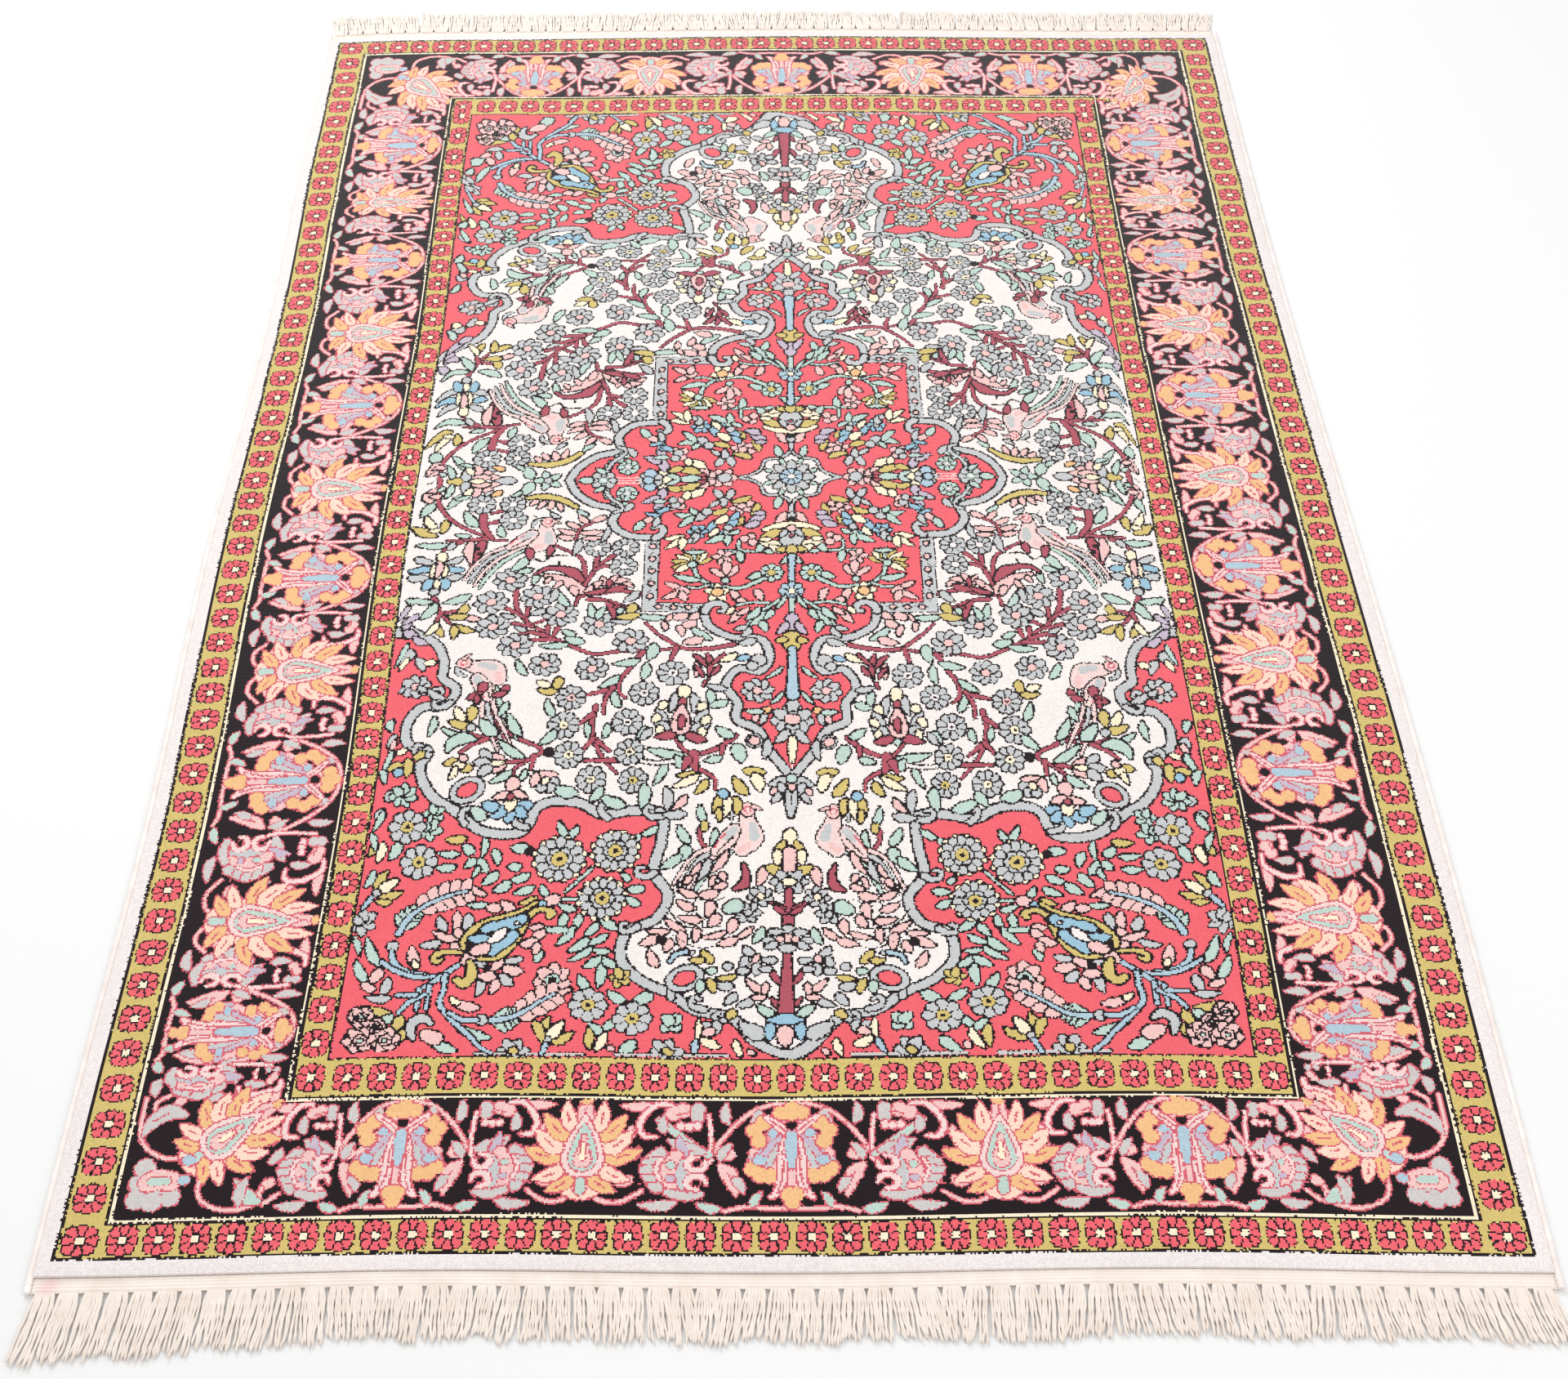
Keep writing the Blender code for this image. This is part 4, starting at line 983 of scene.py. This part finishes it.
brush(near, xy(273, 541, 284, 537, 298, 536), [1.2, 4, 5], PINK)
sickle(xy(290, 537, 305, 541, 320, 547, 334, 556, 344, 567, 351, 582), 5, 13, 354 + 593j)
brush(near, xy(188, 636, 198, 641, 210, 646), [1.4, 3.4, 4], PINK)
sickle(xy(202, 641, 213, 647, 226, 656, 238, 663, 252, 666, 262, 666), 4, 12, 267 + 666j)
for row in ((354, 598, 352, 607, 344, 615, 333, 620, 321, 621),
            (362, 608, 352, 615, 339, 621, 322, 624, 308, 622),
            (292, 612, 301, 619, 309, 625, 317, 631, 327, 636),
            (303, 622, 304, 638, 306, 650, 299, 661, 288, 672, 276, 683, 268, 693, 258, 701),
            (272, 666, 284, 666, 297, 659), (317, 633, 318, 655), (326, 636, 327, 656),
            (320, 641, 334, 648, 343, 658), (328, 641, 346, 641), (380, 541, 388, 551),
            (207, 690, 213, 702)):
    brush(near, xy(*row), [2, 2.2, 1.6], SKY, BLACK, 1.0)

# round daisies: three beaded ones beside the ivory's inner bay and four plain ones
for x, y, reach in ((158, 493, 20), (208, 502, 22), (166, 544, 20)):
    for k in range(12):
        spot(near, complex(x, y) + reach * np.exp(1j * np.pi * (k + 0.5) / 6), 3, 3, 0, CREAM, BLACK, 1.0)
    rose(near, complex(x, y), reach, 12, GREY, GREY, hub=0.5)
    rose(near, complex(x, y), reach * 0.52, 6, GREY, GOLD, hub=0.62, dot=BLACK)
for x, y, reach in ((171, 651, 17), (131, 664, 17), (339, 505, 17), (355, 466, 17)):
    rose(near, complex(x, y), reach, 8, GREY, GOLD, hub=0.34, dot=BLACK, gap=0.7)

# the guards are knotted whole where a leaf of the field would run over them
chart[:, FIELD_W * CELLS_A_MM:] = edging[:, FIELD_W * CELLS_A_MM:]
chart[FIELD_L * CELLS_A_MM:] = edging[FIELD_L * CELLS_A_MM:]


# ---- How the rug lies --------------------------------------------------------------
# A hand-knotted rug never comes off the loom quite square. This one leans a little, bows out at its ends,
# and its sides wander by a few millimetres. Every piece of it is laid by this one rule, in metres.
HALF_W, HALF_L = 0.602, 0.897
SKEW = 0.0064


def lay(x, y):
    """Where a point of the true rectangle lies: each end and side is pushed out or in by a wave that dies
    away at the corners, shared out across the rug, and the whole is skewed and set on the solids' middle."""
    u = np.clip(x / HALF_W, -1, 1)
    v = np.clip(y / HALF_L, -1, 1)
    far = (1 - u**4) * (0.009 - 0.005 * u + 0.0025 * np.cos(2 * np.pi * (u - 0.1) / 1.2))
    near_end = (1 - u**4) * (0.004 + 0.002 * np.cos(2 * np.pi * (u - 0.5)))
    left = (1 - v**4) * (0.005 + 0.0028 * np.cos(2 * np.pi * (v - 0.31) / 0.82))
    right = -0.0045 * np.sin(np.pi * v)
    across = (u + 1) / 2
    along = (v + 1) / 2
    return (x - SKEW * y + (1 - across) * left + across * right + middle[0],
            y - SKEW * x + (1 - along) * near_end + along * far + middle[1])


def swell(x, y):
    """Low swells of the pile: two crossed waves a few tenths of a millimetre high."""
    return 0.0004 * (np.sin(9.0 * x + 1.3) * np.cos(7.0 * y) + 0.6 * np.sin(4.0 * y + 11.0 * x))


middle = np.zeros(2)
rim = np.linspace(-1, 1, 400)
one = np.ones(len(rim))
outline = np.array(lay(np.concatenate([rim, rim, -one, one]) * HALF_W,
                       np.concatenate([-one, one, rim, rim]) * HALF_L))
body_low, body_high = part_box("rug_body")
middle = np.array([body_low.x + body_high.x, body_low.y + body_high.y]) / 2
middle = middle - (outline.min(1) + outline.max(1)) / 2


# ---- Knotting the chart ------------------------------------------------------------
# The knots stand in straight rows and columns, about 1.45 mm apart each way. Each takes the colour of its
# place on the mirrored chart, after the drift, a small warp and the knotter's own unevenness.
KNOTS_X, KNOTS_Y = 832, 1248
DRIFT_STEPS = 6
WARPS = ((0.9, 61), (0.6, 23))  # how far a warp moves the pattern and how long its waves are, in millimetres
RAGGED = 0.5

rng = np.random.default_rng(4)
knot_x, knot_y = np.meshgrid(((np.arange(KNOTS_X) + 0.5) / KNOTS_X * 2 - 1) * HALF_W * 1000,
                             ((np.arange(KNOTS_Y) + 0.5) / KNOTS_Y * 2 - 1) * HALF_L * 1000)
stray = np.zeros((2, KNOTS_Y, KNOTS_X))
for size, reach in WARPS:
    for way in stray:
        a, b, c = rng.uniform(-1, 1, 4)[:3] * 3
        way += (size * np.sin(knot_x / reach * 1.1 + a) * np.cos(knot_y / reach + b)
                * np.cos((knot_x - knot_y) / reach / 3 + c))
plan_x, plan_y = knot_x, knot_y
for _ in range(DRIFT_STEPS):
    dx, dy = drift(plan_x, plan_y)
    plan_x, plan_y = knot_x - dx, knot_y - dy
ragged = stray + rng.uniform(-RAGGED, RAGGED, (2, KNOTS_Y, KNOTS_X))
rows = (abs(plan_y + ragged[0]) * CELLS_A_MM).astype(int)
cols = (abs(plan_x + ragged[1]) * CELLS_A_MM).astype(int)
knots = chart[np.minimum(rows, chart.shape[0] - 1), np.minimum(cols, chart.shape[1] - 1)]


# ---- The dyed wool -----------------------------------------------------------------
# The pile is soft matt wool in eighteen dyes. Each face of the pile carries four rows of four knots as four
# colour attributes, and the material looks up the knot under a point, takes its dye, varies it a little
# from knot to knot and over the rug, and raises each knot as a bead.
KNOTS_A_FACE = 4
DYES = {BLACK: (32, 22, 26), IVORY: (242, 234, 230), CORAL: (238, 102, 112), GOLD: (212, 190, 116),
        CREAM: (250, 236, 206), GREY: (198, 199, 200), MINT: (190, 212, 202), BLUE: (154, 192, 212),
        PINK: (240, 196, 192), WINE: (178, 86, 100), ORANGE: (240, 190, 136), ROSE: (212, 98, 112),
        BAND: (240, 232, 230), SKY: (176, 200, 214), PEACH: (250, 214, 194), LILAC: (198, 184, 200),
        BLUSH: (242, 212, 208), SMOKE: (206, 200, 198)}


def linear(red, green, blue):
    """A dye's colour as light: the sRGB curve undone."""
    c = np.array([red, green, blue]) / 255
    return tuple(np.where(c <= 0.04045, c / 12.92, ((c + 0.055) / 1.055) ** 2.4)) + (1.0,)


def node(tree, kind, inputs=(), **settings):
    """Add one shader node, set its fields, then set or link its inputs by number or name."""
    made = tree.nodes.new("ShaderNode" + kind)
    for key, value in settings.items():
        setattr(made, key, value)
    for key, value in dict(inputs).items():
        if isinstance(value, bpy.types.NodeSocket):
            tree.links.new(value, made.inputs[key])
        else:
            made.inputs[key].default_value = value
    return made


def maths(tree, operation, *values):
    """One math node on up to three values."""
    return node(tree, "Math", dict(enumerate(values)), operation=operation).outputs[0]


def matt(name, roughness, specular, sheen):
    """A new matt material: its node tree and its shader, with the gloss set."""
    material = bpy.data.materials.new(name)
    material.use_nodes = True
    shader = material.node_tree.nodes["Principled BSDF"]
    shader.inputs["Roughness"].default_value = roughness
    shader.inputs["Specular IOR Level"].default_value = specular
    shader.inputs["Sheen Weight"].default_value = sheen
    return material, material.node_tree, shader


wool, tree, shader = matt("wool_pile", 0.95, 0.15, 0.75)
shader.inputs["Sheen Roughness"].default_value = 0.35
tuft = node(tree, "VectorMath", {0: node(tree, "UVMap", uv_map="knots").outputs[0],
                                 1: (KNOTS_A_FACE, KNOTS_A_FACE, 0.0)}, operation="MULTIPLY").outputs[0]
place = node(tree, "SeparateXYZ", {0: node(tree, "UVMap", uv_map="knots").outputs[0]})
column, row = [maths(tree, "FLOOR", maths(tree, "MULTIPLY", maths(tree, "FRACT", place.outputs[k]),
                                          KNOTS_A_FACE)) for k in (0, 1)]
found = None
for r in range(KNOTS_A_FACE):
    kept = node(tree, "Attribute", attribute_name=f"knots_{r}")
    split = node(tree, "SeparateColor", {0: kept.outputs["Color"]})
    for c, value in enumerate((*split.outputs, kept.outputs["Alpha"])):
        here = maths(tree, "MULTIPLY", maths(tree, "COMPARE", column, float(c), 0.25),
                     maths(tree, "COMPARE", row, float(r), 0.25))
        found = maths(tree, "MULTIPLY_ADD", here, value, 0.0 if found is None else found)
dye = node(tree, "ValToRGB", {0: found})
ramp = dye.color_ramp
ramp.interpolation = "CONSTANT"
while len(ramp.elements) < DYE_COUNT:
    ramp.elements.new(0.5)
for k in range(DYE_COUNT):
    ramp.elements[k].position = k / DYE_COUNT
for k, colour in DYES.items():
    ramp.elements[k].color = linear(*colour)
own = node(tree, "TexWhiteNoise", {0: node(tree, "VectorMath", {0: tuft}, operation="FLOOR").outputs[0]},
           noise_dimensions="2D").outputs[0]
soft = node(tree, "TexNoise", {"Vector": node(tree, "TexCoord").outputs["Object"], "Scale": 14.0,
                               "Detail": 3.0})
shade = maths(tree, "MULTIPLY", maths(tree, "MULTIPLY_ADD", own, 0.16, 0.90),
              maths(tree, "MULTIPLY_ADD", soft.outputs[0], 0.10, 0.95))
tinted = node(tree, "Mix", {0: 1.0, 6: dye.outputs[0], 7: shade}, data_type="RGBA", blend_type="MULTIPLY")
tree.links.new(tinted.outputs[2], shader.inputs["Base Color"])
knot_place = node(tree, "SeparateXYZ", {0: tuft})
bead_x, bead_y = [
    maths(tree, "ABSOLUTE", maths(tree, "SINE", maths(tree, "MULTIPLY", knot_place.outputs[k], np.pi)))
    for k in (0, 1)]
height = maths(tree, "MULTIPLY_ADD", own, 0.6, maths(tree, "MULTIPLY", bead_x, bead_y))
bump = node(tree, "Bump", {"Height": height, "Strength": 0.5, "Distance": 0.0006})
tree.links.new(bump.outputs[0], shader.inputs["Normal"])


# ---- The knotted cloth -------------------------------------------------------------
# The cloth is one piece, knotted on a cotton foundation, and lies flat. It is held here in four by four
# closed slabs that meet edge to edge, so that each keeps its own knots.
PILE_H, RIM_DROP = 0.007, 0.0015
SECTIONS = 4
FACES_X = KNOTS_X // KNOTS_A_FACE // SECTIONS
FACES_Y = KNOTS_Y // KNOTS_A_FACE // SECTIONS


def slab(px, py, rise):
    """A closed slab over a grid of places: the grid at its heights, the same grid on the floor, and a row of
    quads round the rim. It gives the corners, the top's quads, the rim's corners and the rim's quads."""
    top = np.stack([px, py, rise], -1).reshape(-1, 3)
    index = np.arange(len(top)).reshape(px.shape)
    quad = np.stack([index[:-1, :-1], index[:-1, 1:], index[1:, 1:], index[1:, :-1]], -1).reshape(-1, 4)
    ring = np.concatenate([index[0, :-1], index[:-1, -1], index[-1, :0:-1], index[:0:-1, 0]])
    next_ring = np.roll(ring, -1)
    skirt = np.stack([next_ring, ring, ring + len(top), next_ring + len(top)], -1)
    return np.concatenate([top, top * (1, 1, 0)]), quad, ring, skirt


def build(name, verts, faces, smooth_count, material):
    """A mesh object at the origin from whole arrays of corners and quads, its first faces shaded smooth."""
    mesh = bpy.data.meshes.new(name)
    mesh.vertices.add(len(verts))
    mesh.vertices.foreach_set("co", np.asarray(verts, np.float32).ravel())
    mesh.loops.add(faces.size)
    mesh.loops.foreach_set("vertex_index", faces.astype(np.int32).ravel())
    mesh.polygons.add(len(faces))
    mesh.polygons.foreach_set("loop_start", np.arange(0, faces.size, faces.shape[1], dtype=np.int32))
    mesh.update(calc_edges=True)
    mesh.polygons.foreach_set("use_smooth", np.arange(len(faces)) < smooth_count)
    mesh.materials.append(material)
    piece = bpy.data.objects.new(name, mesh)
    bpy.context.scene.collection.objects.link(piece)
    return piece


def add_map(piece, name, places):
    """Give a piece a UV map from an array of places, one a face corner."""
    layer = piece.data.uv_layers.new(name=name)
    layer.data.foreach_set("uv", np.asarray(places, np.float32).ravel())


def section(i, j):
    """One slab of the cloth, at column i and row j. Its pile and its back are the same grid of faces, with
    sixteen knots to a face, and the rug's outer rim is a little lower."""
    gx, gy = np.meshgrid(np.arange(FACES_X + 1), np.arange(FACES_Y + 1))
    x = ((i * FACES_X + gx) / (FACES_X * SECTIONS) * 2 - 1) * HALF_W
    y = ((j * FACES_Y + gy) / (FACES_Y * SECTIONS) * 2 - 1) * HALF_L
    edge = (abs(x) > HALF_W - 1e-6) | (abs(y) > HALF_L - 1e-6)
    verts, quad, ring, skirt = slab(*lay(x, y), PILE_H + swell(x, y) - RIM_DROP * edge)
    corners = len(verts) // 2
    faces = np.concatenate([quad, (quad + corners)[:, ::-1], skirt])
    piece = build(f"pile_{j}_{i}", verts, faces, len(quad) * 2, wool)
    on_ring = np.isin(np.arange(2 * corners) % corners, ring)
    ends = np.zeros(2 * len(piece.data.edges), np.int32)
    piece.data.edges.foreach_get("vertices", ends)
    piece.data.edges.foreach_set("use_edge_sharp", on_ring[ends].reshape(-1, 2).all(1))

    # the first map counts faces, one to a square; the rim's quads read the knots just inside them
    grid = np.stack([gx, gy], -1).reshape(-1, 2).astype(float)
    centre = np.array([FACES_X, FACES_Y]) / 2
    inset = centre + (grid - centre) * (1 - 0.25 / centre)
    add_map(piece, "knots", np.concatenate([grid[quad], grid[quad[:, ::-1]], inset[skirt % corners]]))
    # the second map spreads the pile over the square and folds the rim out round it
    apart = grid / (centre * 2) * 0.98 + 0.01
    out = 0.5 + (apart - 0.5) / 0.98
    fold = np.where((skirt < corners)[..., None], apart[skirt % corners], out[skirt % corners])
    add_map(piece, "OFBake", np.concatenate([apart[quad], apart[quad[:, ::-1]], fold]))

    # four knots in a row are the four channels of one colour, and a rim quad repeats its neighbour's knots
    n = KNOTS_A_FACE
    own_knots = knots[j * FACES_Y * n:(j + 1) * FACES_Y * n, i * FACES_X * n:(i + 1) * FACES_X * n]
    own_knots = (own_knots.reshape(FACES_Y, n, FACES_X, n) + 0.5) / DYE_COUNT
    owner = np.arange(FACES_X * FACES_Y).reshape(FACES_Y, FACES_X)
    beside = np.concatenate([owner[0], owner[:, -1], owner[-1, ::-1], owner[::-1, 0]])
    for r in range(n):
        values = own_knots[:, r].reshape(-1, n)
        held = piece.data.attributes.new(f"knots_{r}", "FLOAT_COLOR", "FACE")
        values = np.concatenate([values, values, values[beside]])
        held.data.foreach_set("color", values.astype(np.float32).ravel())
    return piece


for j in range(SECTIONS):
    for i in range(SECTIONS):
        piece = section(i, j)
        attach(piece, "root")
        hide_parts("rug_body")


# ---- Side cords --------------------------------------------------------------------
# The last warps at each side are bundled into a round cord and whipped over with cream yarn, turn by turn,
# from one woven end to the other. The cord stands a hair's breadth off the cloth.
CORD_R, PARTING = 0.0026, 0.0003
WHIP_PITCH = 0.0042
END_Y = HALF_L + PARTING + 0.013
PLY_BULGE = 0.22


def tubes(paths, radii, sides, twist=0.0):
    """Closed tubes round many paths at once: at each station a ring of points, radius times cosine to the
    side and sine upwards, swollen twice a turn like two plies that turn with the twist. Quads run from ring
    to ring and fan over both ends. paths is (tube, station, 3)."""
    run = np.gradient(paths, axis=1)
    run /= np.linalg.norm(run, axis=-1, keepdims=True) + 1e-12
    side = np.cross(run, [0.0, 0.0, 1.0])
    side /= np.linalg.norm(side, axis=-1, keepdims=True) + 1e-12
    up = np.cross(side, run)
    angle = np.linspace(0, 2 * np.pi, sides, endpoint=False)
    ring = radii[..., None] * (1 + PLY_BULGE * np.cos(2 * (angle - np.asarray(twist)[..., None])))
    verts = (paths[:, :, None] + ring[..., None] * np.cos(angle)[:, None] * side[:, :, None]
             + ring[..., None] * np.sin(angle)[:, None] * up[:, :, None])
    index = np.arange(verts[..., 0].size).reshape(verts.shape[:3])
    turn = np.roll(index, -1, 2)
    walls = np.stack([index[:, :-1], index[:, 1:], turn[:, 1:], turn[:, :-1]], -1).reshape(-1, 4)
    fan = np.array([[0, k, k + 1, k + 2] for k in range(1, sides - 2, 2)])
    caps = np.concatenate([index[:, 0][:, fan], index[:, -1][:, fan[:, ::-1]]]).reshape(-1, 4)
    return verts.reshape(-1, 3), np.concatenate([walls, caps]), len(walls)


def yarn(name, sheen, waves, detail, dark, light, fineness):
    """Undyed yarn: slow noise between two close tones, and the fine unevenness of spinning as noise of so
    many waves a metre, read as a bump of a third of a millimetre."""
    material, tree, shader = matt(name, 0.9, 0.2, sheen)
    place = node(tree, "TexCoord").outputs["Object"]
    soft = node(tree, "TexNoise", {"Vector": place, "Scale": waves, "Detail": detail})
    tone = node(tree, "ValToRGB", {0: soft.outputs[0]})
    for k, (at, shade) in enumerate(((0.3, dark), (0.7, light))):
        tone.color_ramp.elements[k].position = at
        tone.color_ramp.elements[k].color = linear(*shade)
    tree.links.new(tone.outputs[0], shader.inputs["Base Color"])
    hair = node(tree, "TexNoise", {"Vector": place, "Scale": fineness, "Detail": 2.0})
    raised = node(tree, "Bump", {"Height": hair.outputs[0], "Strength": 0.35, "Distance": 0.0003})
    tree.links.new(raised.outputs[0], shader.inputs["Normal"])
    return material, tree, shader, tone


cream_yarn = yarn("edge_cord", 0.3, 60.0, 3.0, (234, 220, 214), (248, 240, 236), 1100.0)[0]
for name, side in (("selvedge_left", -1), ("selvedge_right", 1)):
    s = np.linspace(-END_Y, END_Y, 1300)
    px, py = lay(np.full_like(s, side * (HALF_W + PARTING + CORD_R)), s)
    whip = np.abs(np.sin(np.pi * s / WHIP_PITCH + 0.6 * np.sin(s * 90)))
    path = np.stack([px, py, CORD_R + 0 * s], -1)
    verts, faces, smooth_count = tubes(path[None], (CORD_R * (0.82 + 0.18 * whip))[None], 10)
    piece = build("wrapped_" + name, verts, faces, smooth_count, cream_yarn)
    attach(piece, "root")
    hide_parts(name)


# ---- Woven ends --------------------------------------------------------------------
# Past the last row of knots the cotton warps are woven into a narrow plain strip, with fine ribs across it
# and twined lines that lock the knots. Some pink dye has run into it near the near left corner.
KILIM, RIBS = 0.013, 4.5
RIB_FOOT, RIB_RISE, TWINE_RISE = 0.0018, 0.0011, 0.0004
STAIN_AT, STAIN_REACH, STAIN_DEPTH = (-0.583, -0.905, 0.002), 0.011, 0.3

cotton, tree, shader, tone = yarn("cotton_warp", 0.2, 45.0, 4.0, (236, 222, 211), (244, 234, 225), 1300.0)
stain_far = node(tree, "VectorMath", {0: node(tree, "TexCoord").outputs["Object"], 1: STAIN_AT},
                 operation="DISTANCE").outputs["Value"]
stain = node(tree, "MapRange", {0: stain_far, 1: STAIN_REACH, 2: 0.002, 3: 0.0, 4: STAIN_DEPTH}).outputs[0]
dyed = node(tree, "Mix", {0: stain, 6: tone.outputs[0], 7: linear(232, 150, 162)}, data_type="RGBA")
tree.links.new(dyed.outputs[2], shader.inputs["Base Color"])

for name, side in (("fringe_near", -1), ("fringe_far", 1)):
    gx, gy = np.meshgrid(np.linspace(-HALF_W, HALF_W, 417), np.linspace(0, 1, 27))
    rise = RIB_FOOT + RIB_RISE * np.abs(np.sin(gy * np.pi * RIBS)) ** 0.6 + 0.0002 * np.sin(gx * 900)
    rise = rise + TWINE_RISE * (gy > 0.97)
    verts, quad, ring, skirt = slab(*lay(gx, side * (HALF_L + PARTING + gy * KILIM)), rise)
    faces = np.concatenate([quad, (quad + len(verts) // 2)[:, ::-1], skirt])
    if side < 0:
        faces = faces[:, ::-1]
    strip = build("woven_end_" + name, verts, faces, len(quad), cotton)
    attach(strip, "root")
    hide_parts(name)


# ---- Fringe ------------------------------------------------------------------------
# The warps' loose ends hang out of the woven strip as plied cotton cords, eleven to a gather. They are drawn
# together where they leave the strip, then part, lean and wave on the floor, and end unevenly.
GATHERS, CORDS, STATIONS = 62, 11, 14
STRAND_R, STRAND_SIDES, STRAND_TWIST = 0.00122, 6, 55
ROOT_DRAW = 0.32

for name, side, length, corner in (("fringe_near", -1, 0.047, 0.014), ("fringe_far", 1, 0.050, 0.004)):
    rng = np.random.default_rng(20 + side)
    shape = (GATHERS, CORDS, 1)
    slot = (np.arange(GATHERS * CORDS).reshape(shape) + 0.5) / (GATHERS * CORDS) * 2 - 1
    knot = (np.arange(GATHERS).reshape(-1, 1, 1) + 0.5) / GATHERS * 2 - 1
    slot = slot + rng.uniform(-0.0012, 0.0012, shape)
    t = np.linspace(0, 1, STATIONS)
    draw = np.exp(-t * 7) * ROOT_DRAW
    lean = 0.004 * np.sin(17.0 * knot + side) + 0.003 * np.sin(41.0 * knot + 1.3)
    lean = lean + rng.uniform(-0.002, 0.002, knot.shape)
    lean = lean * (1 - abs(knot) ** 4) + 0.011 * knot**5
    wave = rng.uniform(0, 2 * np.pi, shape)
    x = (slot * (1 - draw) + knot * draw) * HALF_W * 0.996
    x = x + (lean + rng.uniform(-0.0018, 0.0018, shape)) * t**1.4
    x = x + 0.0009 * np.sin(t * rng.uniform(5, 12, shape) + wave) * t
    reach = (length + corner * np.maximum(0, -knot - 0.55) * 2.2) * rng.uniform(0.94, 1.05, knot.shape)
    reach = reach * rng.uniform(0.88, 1.02, shape)
    y = side * (HALF_L + PARTING + KILIM - 0.001 + reach * t)
    lift = np.sin(t * rng.uniform(4, 9, shape) + 2 * wave) ** 2 * np.minimum(1, 6 * t)
    z = 0.0015 + 0.0012 * (1 - t) ** 3 + 0.0011 * lift
    path = np.stack(np.broadcast_arrays(*lay(x, y), z), -1).reshape(-1, STATIONS, 3)
    radius = np.broadcast_to(STRAND_R * np.where(t > 0.99, 0.35, 1 - 0.12 * t), path.shape[:2])
    twist = np.broadcast_to(t * STRAND_TWIST, path.shape[:2])
    verts, faces, smooth_count = tubes(path, radius, STRAND_SIDES, twist)
    piece = build("strands_" + name, verts, faces, smooth_count, cotton)
    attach(piece, "root")
    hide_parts(name)


# ---- Camera, floor and light -------------------------------------------------------
# The rug lies on a plain pale floor, seen from above its near end. A pale sky of light and two large soft
# lamps, one beyond the far left corner and one by the near right corner, light it evenly.
CAMERA_X, CAMERA_Y, CAMERA_Z = 0.00471, -1.61803, 1.52851
HEADING, TILT, ROLL = 0.063, 41.094, -0.59
FLOOR_HALF, FLOOR_Z = 12, -0.0002
LAMPS = (("key", (-1.2, 1.6, 2.6), 60.0), ("fill", (1.8, -1.6, 2.4), 25.0))
LAMP_SIZE = 2.5

camera_data = bpy.data.cameras.new("camera")
camera_data.lens = 47.22
camera_data.sensor_width = 36.0
camera = bpy.data.objects.new("camera", camera_data)
bpy.context.scene.collection.objects.link(camera)
stands = Matrix.Translation((CAMERA_X + middle[0], CAMERA_Y + middle[1], CAMERA_Z + PILE_H))
turned = Matrix.Rotation(np.radians(HEADING), 4, "Z") @ Matrix.Rotation(np.radians(TILT), 4, "X")
camera.matrix_world = stands @ turned @ Matrix.Rotation(np.radians(ROLL), 4, "Z")
bpy.context.scene.camera = camera

floor_mesh = bpy.data.meshes.new("floor")
corners = [(x * FLOOR_HALF, y * FLOOR_HALF, FLOOR_Z) for x, y in ((-1, -1), (1, -1), (1, 1), (-1, 1))]
floor_mesh.from_pydata(corners, [], [(0, 1, 2, 3)])
floor = bpy.data.objects.new("floor", floor_mesh)
bpy.context.scene.collection.objects.link(floor)
pale = bpy.data.materials.new("floor_pale")
pale.use_nodes = True
pale.node_tree.nodes["Principled BSDF"].inputs["Base Color"].default_value = (0.82, 0.82, 0.82, 1.0)
pale.node_tree.nodes["Principled BSDF"].inputs["Roughness"].default_value = 1.0
floor_mesh.materials.append(pale)
floor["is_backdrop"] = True

world = bpy.data.worlds.new("studio")
world.use_nodes = True
world.node_tree.nodes["Background"].inputs[0].default_value = (1.0, 1.0, 1.0, 1.0)
world.node_tree.nodes["Background"].inputs[1].default_value = 0.75
bpy.context.scene.world = world
bpy.context.scene.view_settings.view_transform = "Standard"
for name, stands_at, power in LAMPS:
    lamp = bpy.data.lights.new(name, "AREA")
    lamp.energy = power
    lamp.size = LAMP_SIZE
    light = bpy.data.objects.new(name, lamp)
    bpy.context.scene.collection.objects.link(light)
    aimed = Vector(stands_at).to_track_quat("Z", "Y").to_matrix().to_4x4()
    light.matrix_world = Matrix.Translation(stands_at) @ aimed
    light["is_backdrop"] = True

low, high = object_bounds()
